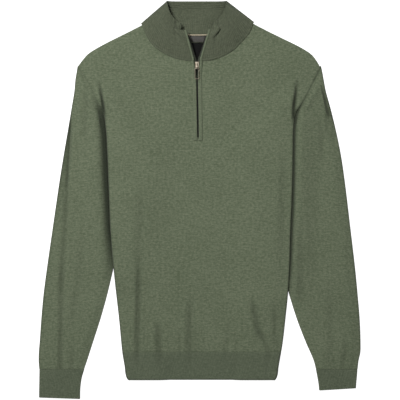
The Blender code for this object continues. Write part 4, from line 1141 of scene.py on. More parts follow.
class Garment:
    """Where the garment's own frame sits in the row's, and what is shared by its pieces."""

    def __init__(self, form: Form, label_corner: tuple[float, float]) -> None:
        """Finds the shift between the frames.

        Args:
            form: the garment's form.
            label_corner: the neck label's lowest corner in the garment's own frame.
        """
        self.form = form
        self.areas: dict[str, float] = {}
        low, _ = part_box("neck_label")
        self.shift = np.array((low[0] / MM - label_corner[0], low[1] / MM - label_corner[1], 0.0))

    def world(self, places: Array) -> Array:
        """Places in metres in the row's frame."""
        return (np.asarray(places, float) + self.shift) * MM

    def mesh(self, name: str, points: Array, faces: Iterable[Sequence[int]], run: Array) -> object:
        """An object of points and faces.

        Args:
            name: the piece's name.
            points: places in millimetres, (n, 3).
            faces: corner numbers of each face.
            run: the cloth's own coordinates at each point in metres, (n, 2).

        Returns:
            The object, linked into the scene.
        """
        data = bpy.data.meshes.new(name)
        data.from_pydata(self.world(points).tolist(), [], [list(face) for face in faces])
        layer = data.uv_layers.new(name="cloth")
        corners = np.zeros(len(data.loops), np.int32)
        data.loops.foreach_get("vertex_index", corners)
        layer.data.foreach_set("uv", np.asarray(run, np.float32)[corners].ravel())
        data.shade_smooth()
        made = link(name, data)
        return made

    def grid(self, name: str, patches: Sequence[Patch], ring: bool = False) -> object:
        """An object of one or more grids, joined where they meet.

        Args:
            name: the piece's name.
            patches: the grids, rows of places each.
            ring: whether each row closes on itself.

        Returns:
            The object.
        """
        points, runs, faces, start = [], [], [], 0
        for patch in patches:
            rows, columns = patch.places.shape[:2]
            points.append(patch.places.reshape(-1, 3))
            runs.append(patch.run.reshape(-1, 2))
            last = columns if ring else columns - 1
            for r in range(rows - 1):
                for c in range(last):
                    a, b = start + r * columns + c, start + r * columns + (c + 1) % columns
                    face = (a, b, b + columns, a + columns)
                    faces.append(face[::-1] if patch.turned else face)
            start += rows * columns
        made = self.mesh(name, np.concatenate(points), faces, np.concatenate(runs))
        weld = made.modifiers.new("joined", "WELD")
        weld.merge_threshold = 0.00002
        return made

    def slab(self, name: str, lower: Array, upper: Array, run: Array) -> object:
        """A closed strip between two grids of places of equal size.

        Args:
            name: the piece's name.
            lower: rows of places of the underside.
            upper: rows of places of the top.
            run: the cloth's own coordinates of the top, in metres.

        Returns:
            The object.
        """
        rows, columns = lower.shape[:2]
        count = rows * columns
        faces = []
        for r in range(rows - 1):
            for c in range(columns - 1):
                a = r * columns + c
                quad = (a, a + 1, a + 1 + columns, a + columns)
                faces.append(quad[::-1])
                faces.append(tuple(k + count for k in quad))
        at = np.arange(count).reshape(rows, columns)
        rim = np.concatenate((at[0], at[1:, -1], at[-1, -2::-1], at[-2:0:-1, 0])).tolist()
        for a, b in zip(rim, rim[1:] + rim[:1]):
            faces.append((a, b, b + count, a + count))
        points = np.concatenate((lower.reshape(-1, 3), upper.reshape(-1, 3)))
        made = self.mesh(name, points, faces, np.concatenate((run.reshape(-1, 2),) * 2))
        signed = np.cross(points[faces[1][1]] - points[faces[1][0]],
                          points[faces[1][2]] - points[faces[1][0]])
        if float(signed @ (points[count] - points[0])) < 0:
            made.data.flip_normals()
        return made

    def shell(self, name: str, patches: Sequence[Patch], finish: Finish, node: str, thick: float,
              round_edge: float, deep: Callable[[Array, Array], Array] | None = None,
              ring: bool = False) -> object:
        """A cloth piece from its grids: walled half to each side, soft at its edges, and dressed.

        Args:
            name: the piece's name.
            patches: the grids of its middle surface.
            finish: what it is made of.
            node: the CAD solid that it stands for.
            thick: the wall in millimetres.
            round_edge: radius of the cut edges in millimetres.
            deep: share of painted crease shade at places across and along, from 0 to 1.
            ring: whether each row closes on itself.

        Returns:
            The piece.
        """
        made = self.grid(name, patches, ring)
        wall = made.modifiers.new("wall", "SOLIDIFY")
        wall.thickness, wall.offset, wall.use_even_offset = thick * MM, 0.0, False
        soft = made.modifiers.new("soft_edges", "BEVEL")
        soft.width, soft.segments = round_edge * MM, 4 if round_edge > 1 else 2
        soft.limit_method, soft.angle_limit = "ANGLE", math.radians(55)
        self.shade(self.settle(made), deep)
        return dress(made, finish, node)

    def settle(self, made: object) -> object:
        """Works an object's modifiers into its mesh.

        Args:
            made: the object.

        Returns:
            The same object.
        """
        depsgraph = bpy.context.evaluated_depsgraph_get()
        data = bpy.data.meshes.new_from_object(made.evaluated_get(depsgraph))
        made.modifiers.clear()
        old, made.data = made.data, data
        bpy.data.meshes.remove(old)
        data.name = made.name
        data.shade_smooth()
        return made

    def shade(self, made: object, deep: Callable[[Array, Array], Array] | None = None) -> None:
        """Marks each point's painted shade: darker colour in creases, and on slopes that turn down
        away from the light above.

        Args:
            made: the piece's object.
            deep: share of painted crease shade at places across and along, from 0 to 1.
        """
        data = made.data
        points = np.zeros(len(data.vertices) * 3, np.float32)
        normals = np.zeros_like(points)
        data.vertices.foreach_get("co", points)
        data.vertex_normals.foreach_get("vector", normals)
        # Painted shade by slope: the more a point's normal leans from upright, the darker it is
        # painted.
        turned = self.form.turn_shade * (1 - np.abs(normals.reshape(-1, 3)[:, 2])) ** 1.5
        places = points.reshape(-1, 3) / MM - self.shift
        share = turned if deep is None else turned + deep(places[:, 0], places[:, 1])
        layer = data.attributes.new("deep", "FLOAT", "POINT")
        layer.data.foreach_set("value", np.clip(share, 0.0, 1.0).astype(np.float32))


def mid_area(patches: Sequence[Patch]) -> float:
    """Area of cloth over its middle surface.

    Args:
        patches: its grids.

    Returns:
        The area in square metres.
    """
    total = 0.0
    for patch in patches:
        p = patch.places
        a, b = p[1:, 1:] - p[:-1, :-1], p[1:, :-1] - p[:-1, 1:]
        total += float(np.linalg.norm(np.cross(a, b), axis=-1).sum()) / 2
    return total * MM * MM


def link(name: str, data: object) -> object:
    """Makes an object and links it into the scene.

    Args:
        name: its name.
        data: its mesh, light or camera.

    Returns:
        The object.
    """
    made = bpy.data.objects.new(name, data)
    bpy.context.scene.collection.objects.link(made)
    return made


class Laid(Enum):
    """How a piece of cloth is held."""

    FLAT = "laid"
    FOLDED = "folded"


def dress(made: object, finish: Finish, *nodes: str, body: str = GARMENT_BODY) -> object:
    """Gives a piece its finish, its body and the solids that it stands for.

    Args:
        made: the piece.
        finish: what it is made of.
        nodes: names of the CAD solids that it replaces.
        body: the body that it moves with.

    Returns:
        The piece.
    """
    made.data.materials.clear()
    made.data.materials.append(finish.material())
    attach(made, body)
    if nodes:
        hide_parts(*nodes)
    LOG.info("%s: %d faces", made.name, len(made.data.polygons))
    return made


# --- Panels ---


@dataclass
class Panels:
    """The front and the back: walls with their sides tucked under, up to the shoulders."""

    garment: Garment
    step: float = 3.6  # between rows
    columns: int = 84  # in each half
    neck_columns: int = 36
    patch_rows: int = 34
    split: dict[Side, float] = each(0.4455, 0.45)

    def neck_path(self, side: Side) -> Path:
        """The front's neck line, from the notch to the zip."""
        table = self.garment.form.tops[side]
        return Path(tuple(row[:2] for row in table.rows[self.garment.form.notch:]))

    def back_path(self, side: Side) -> Path:
        """The back's neck line, from the notch to the middle.

        Args:
            side: which half.

        Returns:
            The line, straight between its points.
        """
        form = self.garment.form
        corner = form.back_neck[0 if side is Side.LEFT else -1]
        notch = form.tops[side].rows[form.notch][:2]
        return Path((notch, corner, form.back_neck[1]), rounded=False)

    def neck_height(self, side: Side, share: Array) -> Array:
        """Height of the front's neck edge at a share of its length from the notch."""
        heights = self.garment.form.tops[side].column("front_height")[self.garment.form.notch:]
        return np.interp(np.asarray(share) * (len(heights) - 1), range(len(heights)), heights)

    def edge_height(self, side: Side, share: float) -> float:
        """Height along the armhole seam at a share of the way up the patch."""
        form = self.garment.form
        return form.patch_bottom + (form.tops[side].rows[0][1] - form.patch_bottom) * share

    def outer_edge(self, side: Side, y: float) -> Array:
        """The place where a half's top run begins at a height on the plan."""
        form = self.garment.form
        return np.array((form.edge(side, y) + side.inward * form.seam_start(y), y), float)

    def shoulder_path(self, side: Side) -> Path:
        """The panel's shoulder edge.

        Args:
            side: which half.

        Returns:
            The line, from the armhole seam to the notch.
        """
        form = self.garment.form
        rows = [row[:2] for row in form.tops[side].rows[: form.notch + 1]]
        rows[0] = tuple(self.outer_edge(side, rows[0][1]))
        rows[1] = (rows[1][0] + side.inward * 2.5, rows[1][1])
        return Path(tuple(rows))

    def patch_rows_of(self, side: Side, neck: Path, inner: Callable[[float], Array],
                      columns: Array) -> Array:
        """Plan of one half between the patch's foot and the shoulder.

        Args:
            side: which half.
            neck: the half's neck line, from the notch.
            inner: the half's inner edge at a share of the patch's height.
            columns: shares across the half.

        Returns:
            The plan (rows, columns, 2).
        """
        split, u = self.split[side], columns[:, None]
        top = np.where(u <= split, self.shoulder_path(side).at(np.clip(columns / split, 0, 1)),
                       neck.at(np.clip((columns - split) / (1 - split), 0, 1)))
        rows = []
        for s in np.linspace(0.0, 1.0, self.patch_rows):
            foot = (1 - u) * self.outer_edge(side, self.edge_height(side, 0.0)) + u * inner(0.0)
            up = (1 - u) * self.outer_edge(side, self.edge_height(side, s)) + u * inner(s)
            ends = (1 - u) * top[0] + u * top[-1]
            rows.append((1 - s) * foot + s * top + up - ((1 - s) * foot + s * ends))
        return np.array(rows)

    def lower_ys(self) -> Array:
        """Heights of the straight rows.

        Returns:
            The heights on the plan, closer together at the hem's seam.
        """
        form = self.garment.form
        count = int((form.tuck_top - form.hem_top) / self.step)
        foot = form.hem_top - form.seam_overlap + np.array((0.0, 1.0, 2.0, 3.2))
        ys = np.linspace(form.hem_top + 4.2, form.tuck_top, count)
        return np.concatenate((foot, ys, [form.tuck_top + 3.5]))

    def lower_rows(self, side: Side, inner: Callable[[float], float], columns: Array) -> Array:
        """Plan of one half's straight rows.

        Args:
            side: which half.
            inner: X of the half's inner edge at a height on the plan.
            columns: shares across the half.

        Returns:
            The plan (rows, columns, 2).
        """
        rows = []
        for y in self.lower_ys():
            start = self.outer_edge(side, y)[0]
            rows.append(stacked(start + (inner(y) - start) * columns, y))
        return np.array(rows)

    def column_shares(self, split: float) -> Array:
        """Shares across a half, with even steps on each side of the split."""
        outer = np.linspace(0.0, split, self.columns - self.neck_columns)
        return np.concatenate((outer, np.linspace(split, 1.0, self.neck_columns + 1)[1:]))

    def tucked(self, side: Side, radius: float, level: float,
               height: Callable[[Array, Array], Array]) -> Patch:
        """The hidden stretch under a side fold: its run, then its turn up to the top run.

        Args:
            side: which side.
            radius: the turn's radius.
            level: height of the run over what lies under it.
            height: the top run's surface.

        Returns:
            The grid, from the hidden end to the top of the turn.
        """
        form, sign, centre = self.garment.form, side.inward, self.garment.form.fold_centre
        ys, places, runs = self.lower_ys(), [], []
        sines, cosines = ring_of(1.0, 0.0, 10)
        for y in ys[ys <= form.tuck_top + 0.01]:
            edge = float(form.edge(side, y))
            reach = float(form.tuck.straight("flap_" + side.value, y))
            top = float(height(edge + sign * centre, y))
            ds = centre + (reach - centre) * np.linspace(1.0, 0.0, 16)[:-1]
            zs = form.layer_height(Layer.SLEEVE, side, edge + sign * ds, y) + level
            last = float(form.layer_height(Layer.SLEEVE, side, edge + sign * centre, y) + level)
            zs = zs + (top - 2 * radius - last) * (1 - smooth((ds - centre) / 10.0))
            d = np.concatenate((ds, centre - radius * sines))
            z = np.concatenate((zs, top - radius * (1 - cosines)))
            steps = np.hypot(np.diff(d), np.diff(z))
            from_top = np.concatenate((np.cumsum(steps[::-1])[::-1], [0.0]))
            places.append(stacked(edge + sign * d, y, z))
            runs.append(stacked(edge + sign * (centre - from_top), y) * MM)
        return Patch(np.array(places), np.array(runs), side.turned)

    def shoulder_turn(self, side: Side) -> Patch:
        """The front's edge above its side fold, where it rolls down to the armhole seam.

        Args:
            side: which side.

        Returns:
            The grid, from the seam to the top run.
        """
        form, sign, places = self.garment.form, side.inward, []
        sines, cosines = ring_of(0.5, 0.0, 8)
        for y in np.linspace(form.tuck_top, form.tuck_top + 24.0, 12):
            opened = float(smooth((y - form.tuck_top) / form.seam_turn))
            edge, start = float(form.edge(side, y)), float(form.seam_start(y))
            top = float(form.front_height(edge + sign * start, y))
            foot = form.knit / 2 - (form.knit / 2 + form.seam_overlap) * opened
            sleeve = float(form.sleeve_top(side, np.array(edge), y))
            drop = max(form.front_radius + (0.6 - form.front_radius) * opened, top - sleeve)
            x = edge + sign * (start + (foot - start) * sines)
            places.append(stacked(x, y, top - drop * (1 - cosines)))
        grid = np.array(places)
        return Patch(grid, grid[..., :2] * MM, side.turned)

    def front_patches(self) -> list[Patch]:
        """The front panel's grids.

        Returns:
            For each side its top run, what is tucked under it, and its turn at the shoulder.
        """
        form, patches = self.garment.form, []
        for side in Side:
            split, neck = self.split[side], self.neck_path(side)
            columns, end = self.column_shares(split), neck.at(1.0)

            def inner(s: float) -> Array:
                """The half's edge along the zip.

                Args:
                    s: share of the patch's height.

                Returns:
                    The place on the plan.
                """
                y = form.patch_bottom + (form.collar_foot - form.patch_bottom) * s
                edge = float(form.slit_edge(side, y))
                return np.array((edge + (end[0] - edge) * float(smooth(2 * s - 1)), y), float)

            lower = self.lower_rows(side, lambda y: float(form.slit_edge(side, y)), columns)
            plan = np.concatenate((lower, self.patch_rows_of(side, neck, inner, columns)))
            z = form.front_height(plan[..., 0], plan[..., 1])
            heights = form.tops[side].column("front_height")
            ramp = np.clip(5 * columns / split - 4, 0, 1) * (heights[form.notch] - heights[0])
            past = np.clip((columns - split) / (1 - split), 0, 1)
            top = np.where(columns <= split, heights[0] + ramp, self.neck_height(side, past))
            settle = np.zeros(len(plan))
            settle[len(lower):] = smooth((np.linspace(0, 1, self.patch_rows) - 0.88) / 0.12)
            z = z + (top[None, :] - z) * settle[:, None]
            patches += [
                Patch(stacked(plan[..., 0], plan[..., 1], z), plan * MM, side.turned),
                self.tucked(side, form.front_radius, form.knit / 2, form.front_height),
                self.shoulder_turn(side),
            ]
        return patches

    def back_patches(self) -> list[Patch]:
        """The back panel's grids.

        Returns:
            For each side its top run and what is tucked under it.
        """
        form, patches = self.garment.form, []
        level = form.knit / 2 + form.knit + form.layer_gap

        def inner(s: float) -> Array:
            """The panel's middle line."""
            top = form.back_neck[1][1]
            return np.array((form.zip_foot_x, form.patch_bottom + (top - form.patch_bottom) * s))

        for side in Side:
            columns = self.column_shares(self.split[side])
            lower = self.lower_rows(side, lambda y: form.zip_foot_x, columns)
            upper = self.patch_rows_of(side, self.back_path(side), inner, columns)
            plan = np.concatenate((lower, upper))
            x, y = plan[..., 0], plan[..., 1]
            patches.append(Patch(stacked(x, y, form.back_height(x, y)), plan * MM, side.turned))
            patches.append(self.tucked(side, form.back_radius, level, form.back_height))
        return patches

    def build(self, knit: Finish) -> list[object]:
        """Makes both panels.

        Args:
            knit: the plain knit.

        Returns:
            The front and the back.
        """
        garment, made = self.garment, []
        for name, patches, deep in (("front", self.front_patches(), garment.form.painted_shade_on_front),
                                    ("back", self.back_patches(), None)):
            garment.areas[name] = mid_area(patches)
            made.append(garment.shell(name, patches, knit, name + "_panel",
                                      garment.form.knit, 0.4, deep))
        return made


# --- Sleeves and ribs ---


@dataclass
class Sleeve:
    """A sleeve: a flattened tube, cut aslant along the armhole at its upper end."""

    garment: Garment
    side: Side
    foot: float = -338.0
    top: float = 268.0
    step: float = 3.6
    columns: tuple[int, int, int] = (12, 24, 26)  # under the body, beside its edge, and outside
    beside: float = 26.0  # width of the finer stretch
    tip: float = 14.0
    lean: float = 0.112  # radians between the sleeve's run and the garment's
    fold_radius: float = 1.5
    foot_of_cover: float = -178.0

    def row(self, y: float) -> tuple[Array, Array]:
        """One row round the sleeve.

        Args:
            y: the row's height on the plan.

        Returns:
            The walls with the outer fold between them, and the arc of the inner fold.
        """
        form, side, sign = self.garment.form, self.side, self.side.inward
        closing = 1 - 0.97 * float(smooth((y - self.top + self.tip) / self.tip))
        radius = self.fold_radius * closing
        margin = (form.knit / 2 + self.fold_radius) * closing
        outer = float(form.sleeve_outer.at(side.value, y)) + sign * margin
        start = form.sleeve_inner(side, y) - sign * (margin if y < form.armhole_foot else 0.0)
        width = abs(outer - start)
        under = least = min(4.0, 0.1 * width)
        if y > self.foot_of_cover:
            covered = abs(float(form.edge(side, y)) - start) - 1.0
            under = float(np.clip(covered, least, max(least, width - 40.0)))
        marks = (0.0, under, under + min(self.beside, (width - under) / 2), width)
        steps = [np.linspace(a, b, n, endpoint=False)
                 for a, b, n in zip(marks, marks[1:], self.columns)]
        xs = start - sign * np.concatenate(steps + [[width]])
        top, low = form.sleeve_top(side, xs, y), form.sleeve_low(side, xs, y)
        sines, cosines = ring_of(0.0, 1.0, 11)
        half = (top[-1] - low[-1]) / 2
        x = np.concatenate((xs, outer - sign * radius * sines[1:-1], xs[::-1]))
        z = np.concatenate((top, low[-1] + half + half * cosines[1:-1], low[::-1]))
        sines, cosines = ring_of(0.0, 1.0, 9)
        half = (top[0] - low[0]) / 2
        fold = stacked(start + sign * radius * sines, y, low[0] + half - half * cosines)
        return stacked(x, y, z), fold

    def patches(self) -> list[Patch]:
        """The sleeve's grids.

        Returns:
            The walls, and the inner fold below the underarm.
        """
        sign, turned, last = self.side.inward, self.side.turned, sum(self.columns)
        ys = np.linspace(self.foot, self.top, int((self.top - self.foot) / self.step))
        rows = [self.row(float(y)) for y in ys]
        walls = np.array([row[0] for row in rows])
        run, ends = run_along(walls), walls[:, last: last + 1, 0]
        walls_run = self.turn(ends - sign * (run - run[:, last: last + 1]), walls[..., 1])
        folds = np.array([row[1] for row, y in zip(rows, ys) if y < self.garment.form.armhole_foot])
        round_fold = run_along(folds[:, ::-1])[:, ::-1]
        fold_run = self.turn(folds[:, -1:, 0] + sign * round_fold, folds[..., 1])
        return [Patch(walls, walls_run, turned), Patch(folds, fold_run, turned)]

    def turn(self, x: Array, y: Array) -> Array:
        """The cloth's own coordinates in metres, turned to the sleeve's run."""
        c, s = math.cos(self.lean), -self.side.inward * math.sin(self.lean)
        return stacked(x * c - y * s, x * s + y * c) * MM

    def build(self, knit: Finish) -> object:
        """Makes the sleeve.

        Args:
            knit: the plain knit.

        Returns:
            The piece.
        """
        patches, form, side = self.patches(), self.garment.form, self.side
        name = "sleeve_of_" + side.value
        self.garment.areas[name] = mid_area(patches)
        return self.garment.shell(name, patches, knit, "sleeve_" + side.value, form.knit, 0.4,
                                  lambda x, y: form.painted_shade_on_sleeve(side, x, y))


LINE = "row inner_x outer_x inner_y outer_y"


@dataclass
class Cuff:
    """A cuff: a flattened ring of rib with a finished edge."""

    garment: Garment
    side: Side
    rows: int = 26
    across: int = 34
    puff: float = 0.9
    edge_roll: float = 0.35
    edge_place: float = 5.0
    lines: dict[Side, Table] = each(
        table(
            LINE,
            (0, -230.4, -320.4, -338.3, -338.3), (1, -235.6, -320.6, -356, -356),
            (2, -238.4, -321, -377, -376), (3, -238.8, -321.2, -398, -395.2),
        ),
        table(
            LINE,
            (0, 232.8, 316.2, -338.3, -338.3), (1, 235.4, 315.2, -352, -352),
            (2, 238, 314, -367, -365), (3, 239.4, 313.2, -381, -376.6),
        ),
    )

    def ends(self, row: float) -> list[float]:
        """The ends of a row: X of both, then Y of both."""
        return [float(self.lines[self.side].at(name, row)) for name in LINE.split()[1:]]

    def ring(self, row: float) -> Array:
        """One closed row of places round the cuff.

        Args:
            row: its number, from 0 at the seam to 3 at the edge.

        Returns:
            The places.
        """
        form, sign, low = self.garment.form, self.side.inward, self.garment.form.rib / 2
        inner_x, outer_x, inner_y, outer_y = self.ends(row)
        radius = (form.rib + form.tube_gap) / 2
        near, far = inner_x - sign * (low + radius), outer_x + sign * (low + radius)
        sines, cosines = ring_of(-0.5, 0.5, 9)
        share = np.linspace(0.0, 1.0, self.across)[1:-1]
        from_foot = abs(self.ends(3.0)[2] - inner_y)
        roll = self.edge_roll * bell((from_foot - self.edge_place) / 1.6)
        bulge = self.puff * np.sin(math.pi * share) ** 0.6 * (0.5 + 0.5 * smooth(1 - row / 3))
        x = np.concatenate((near + sign * radius * cosines, near + (far - near) * share,
                            far - sign * radius * cosines, far + (near - far) * share))
        z = low + radius + np.concatenate((radius * sines, radius + bulge - roll,
                                           -radius * sines, np.full_like(share, -radius)))
        y = inner_y + (outer_y - inner_y) * (x - inner_x) / (outer_x - inner_x)
        return stacked(x, y, z)

    def build(self, rib: Finish) -> object:
        """Makes the cuff.

        Args:
            rib: the rib knit.

        Returns:
            The piece.
        """
        places = np.array([self.ring(float(row)) for row in np.linspace(0.0, 3.0, self.rows)])
        patch = Patch(places, stacked(run_along(places), places[..., 1]) * MM, self.side.turned)
        name = self.side.value
        return self.garment.shell("cuff_rib_" + name, [patch], rib, "cuff_" + name,
                                  self.garment.form.rib, 0.5, ring=True)


@dataclass
class Hem:
    """The hem: one ring of rib, its sides tucked under like the body's."""

    garment: Garment
    rows: int = 24
    across: int = 110
    puff: float = 0.9
    edge_roll: float = 0.35
    edge_place: float = 5.5
    fold_share: float = 0.55
    tucks: dict[Side, float] = each(52.0, 56.0)

    def ring(self, y: float) -> Array:
        """One closed row of places round the hem.

        Args:
            y: the row's height on the plan.

        Returns:
            The places.
        """
        form = self.garment.form
        pitch, low = form.rib + form.layer_gap, form.rib / 2
        centre = low + 1.5 * pitch
        edges = {side: float(form.edge(side, y)) for side in Side}
        left, right = Side

        def rise(x: Array) -> tuple[Array, Array]:
            """How the tucks raise what lies over them.

            Args:
                x: places across.

            Returns:
                Distances from the nearer side's edge, and the heights.
            """
            near = x < 0
            d = np.where(near, x - edges[left], edges[right] - x)
            reach = np.where(near, self.tucks[left], self.tucks[right])
            return d, low + 2 * pitch * (1 - smooth((d - reach - 12.0) / 24.0))

        def turn(side: Side, radius: float, way: int = 1) -> tuple[Array, Array]:
            """A side's fold, from its foot to its top, or down if the way is -1."""
            d, z = (centre - radius * part[::way] for part in ring_of(0.0, 1.0, 9))
            return edges[side] + side.inward * d, z

        def run(side: Side, level: float, way: int = 1) -> tuple[Array, Array]:
            """A tuck's level run, from its hidden end outward, or inward if the way is -1."""
            d = np.linspace(self.tucks[side], centre, 14)[:-1]
            return (edges[side] + side.inward * d)[::way], np.full_like(d, level)

        def seam_turn(side: Side, way: int = 1) -> tuple[Array, Array]:
            """The hidden fold between a tuck's two runs."""
            sines, cosines = (pitch / 2 * part[1:-1][::way] for part in ring_of(0.0, 1.0, 7))
            return edges[side] + side.inward * (self.tucks[side] + sines), low + pitch / 2 - cosines

        span = np.linspace(edges[left] + centre, edges[right] - centre, self.across)[1:-1]
        top_y = np.full_like(span, form.hem_top)
        d, lifted = rise(span)
        fade = smooth((y - form.hem_bottom) / (form.hem_top - form.hem_bottom))
        folds = sum(fold.height(span, top_y) for fold in form.body_folds)
        roll = self.edge_roll * bell((y - form.hem_bottom - self.edge_place) / 1.8)
        roll = roll + form.seam_dip * bell((y - form.hem_top) / 2.2)
        puff = self.puff + self.fold_share * np.maximum(folds, -1.2) * fade
        top = lifted + pitch + puff * smooth(d / 30.0)
        seam = form.front_height(span, top_y) + form.seam_dip + (form.knit - form.rib) / 2
        top = top + (seam - top) * fade * smooth(d / 20.0) - roll * smooth(d / 12.0)
        parts = (
            run(left, low), turn(left, 1.5 * pitch), (span, top),
            turn(right, 1.5 * pitch, -1), run(right, low, -1),
            seam_turn(right), run(right, low + pitch), turn(right, pitch / 2),
            (span[::-2], rise(span[::-2])[1]),
            turn(left, pitch / 2, -1), run(left, low + pitch, -1), seam_turn(left, -1),
        )
        return stacked(np.concatenate([part[0] for part in parts]), y,
                       np.concatenate([part[1] for part in parts]))

    def build(self, rib: Finish) -> object:
        """Makes the hem.

        Args:
            rib: the rib knit.

        Returns:
            The piece.
        """
        form = self.garment.form
        ys = np.linspace(form.hem_top + form.seam_overlap, form.hem_bottom, self.rows)
        places = np.array([self.ring(float(y)) for y in ys])
        patch = Patch(places, stacked(run_along(places), places[..., 1]) * MM, turned=True)
        return self.garment.shell("hem_rib", [patch], rib, "hem_band", form.rib, 0.5,
                                  form.painted_shade_on_hem, ring=True)


# --- Collar and neck ---


@dataclass
class Collar:
    """The collar: a doubled band from the neck seam up to its folded top edge.

    Its sections are numbered, and each one's seam counts along the neck from the left zip edge:
    1 is the left notch, 2 the right notch and 3 the right zip edge.
    """

    garment: Garment
    panels: Panels
    rows: int = 64
    steps: int = 11  # columns to a section
    notch_step: float = 0.02
    notch_radius: float = 2.9
    notch_height: float = 4.4
    ridge_pitch: float = 4.2
    ridge_height: float = 0.6
    overlap: float = 0.6
    # Painted shadow beside the front's top edges: where it starts past the edge, and its strength.
    lip_half: float = 1.2
    lip_shade: float = 0.75
    height: float = 58.0
    buckle_reach: float = 0.36  # how far from a zip edge the collar buckles, in seam numbers
    buckle: Table = table(
        "away aside down up",
        (0, 0, 0, 0), (0.05, 5, 3.4, 1), (0.10, 8.8, 6, 2.2), (0.125, 10.6, 5.8, 2.4),
        (0.15, 6.8, 4.7, 1.4), (0.175, 0.2, 3.8, 0), (0.20, -5.2, 2.8, -1.6),
        (0.225, -5.3, 1.2, -1.8), (0.27, -1.8, 0, -0.8), (0.36, 0, 0, 0),
    )
    troughs: dict[Side, tuple[float, float, float]] = each((0.28, 0.24, 2.2), (0.31, 0.16, 2.6))
    sections: Table = table(
        "section seam top_x top_y top_z belly",
        (0, 0.00, -27.2, 338, 21, 1), (1, 0.06, -32.5, 341.5, 22.5, 1.6),
        (2, 0.13, -38, 346, 23, 2.4), (3, 0.22, -44, 352.5, 21.5, 2.8),
        (4, 0.36, -51.5, 361.5, 20.5, 4), (5, 0.56, -58.5, 372, 22, 4.6),
        (6, 0.78, -61.6, 382, 21.5, 3.6), (7, 0.90, -63.2, 387.5, 19.8, 2.4),
        (8, 0.98, -63.8, 391.5, 16.6, 1.2), (9, 1.00, -64.4, 395.2, 11, 0.4),
        (10, 1.02, -61.4, 397.2, 5, 0), (11, 1.10, -52, 397.5, 3.2, 0),
        (12, 1.25, -36, 397.6, 2.7, 0), (13, 1.50, -5, 397.6, 2.4, 0),
        (14, 1.75, 26, 397.6, 2.7, 0), (15, 1.90, 42, 397.5, 3.2, 0), (16, 1.98, 51.2, 397.2, 5, 0),
        (17, 2.00, 54, 395.2, 11, 0.4), (18, 2.02, 53.4, 391.5, 16.6, 1.2),
        (19, 2.10, 52.8, 387.5, 19.8, 2.4), (20, 2.22, 51, 382, 21.5, 3.6),
        (21, 2.44, 47, 372, 22, 4.6), (22, 2.64, 40.5, 362, 20.5, 4),
        (23, 2.78, 34, 354, 21.5, 2.8), (24, 2.87, 29, 347.5, 23, 2.4),
        (25, 2.94, 24, 342.5, 22.5, 1.6), (26, 3.00, 19.2, 338.6, 21, 1),
    )
    loop: Array = field(init=False)

    def __post_init__(self) -> None:
        """Works out the neck seam: rows of seam number, x, y and z."""
        form, step = self.garment.form, self.notch_step
        lift = (form.collar_wall - form.knit) / 2 + 0.1
        shares = np.linspace(0.0, 1.0, 25)
        rows: list[tuple[float, ...]] = []
        for side, end, notch in ((Side.LEFT, 0.0, 1.0), (Side.RIGHT, 3.0, 2.0)):
            plan = self.panels.neck_path(side).at(shares)
            z = self.panels.neck_height(side, shares) + lift
            sign = side.inward
            rows += self.edge_rows(plan, z, (notch - sign * step, end), sign)
            plan = self.panels.back_path(side).at(shares)
            z = form.back_height(plan[:, 0], plan[:, 1]) + lift
            rows += self.edge_rows(plan, z, (notch + sign * step, 1.5), sign)
            x, y = form.tops[side].rows[form.notch][:2]
            for k in np.linspace(-1.0, 1.0, 9):
                out = self.notch_radius * math.cos(math.pi / 4 * k)
                z = self.notch_height - sign * self.notch_radius * math.sin(math.pi / 4 * k)
                rows.append((notch + step * k / 2, x - sign * 0.66 * out, y + 0.75 * out, z))
        self.loop = np.array(sorted(rows))

    def edge_rows(self, plan: Array, z: Array, ends: tuple[float, float],
                  sign: float) -> list[tuple[float, ...]]:
        """Rows of the loop along one edge, moved over the panel.

        Args:
            plan: the edge on the plan.
            z: heights of the edge.
            ends: seam numbers of its first and last place.
            sign: 1 where the panel is on the left of the way along the edge, -1 where on its right.

        Returns:
            Rows of seam number, x, y and z.
        """
        along = np.gradient(plan, axis=0)
        along = along / np.linalg.norm(along, axis=1)[:, None] * sign * self.overlap
        numbers = np.linspace(*ends, len(plan))
        x, y = plan[:, 0] + along[:, 1], plan[:, 1] - along[:, 0]
        return [tuple(row) for row in stacked(numbers, x, y, z)]

    @property
    def last(self) -> float:
        """Number of the last section."""
        return float(len(self.sections.rows) - 1)

    def seam_point(self, number: Array | float) -> Array:
        """Places (..., 3) of the collar's foot at seam numbers."""
        return stacked(*(np.interp(number, self.loop[:, 0], row) for row in self.loop.T[1:]))

    def point(self, t: Array | float, v: Array | float) -> Array:
        """Places of the middle surface.

        Args:
            t: section numbers.
            v: shares of the way from the seam to the top edge.

        Returns:
            The places (..., 3).
        """
        t, v = np.broadcast_arrays(np.asarray(t, float), np.asarray(v, float))
        number = self.sections.at("seam", t)
        seam = self.seam_point(number)
        top = stacked(*(self.sections.at("top_" + axis, t) for axis in "xyz"))
        away = np.clip(np.minimum(number, 3.0 - number), 0.0, self.buckle_reach)
        near_top = smooth((v - 0.5) / 0.5) ** 1.4
        place = seam + (top - seam) * v[..., None]
        aside = self.buckle.at("aside", away) * near_top
        place[..., 0] += np.where(number < 1.5, -aside, aside)
        place[..., 1] -= self.buckle.at("down", away) * near_top
        place[..., 2] += self.sections.at("belly", t) * np.sin(math.pi * v)
        place[..., 2] += self.buckle.at("up", away) * near_top
        return place

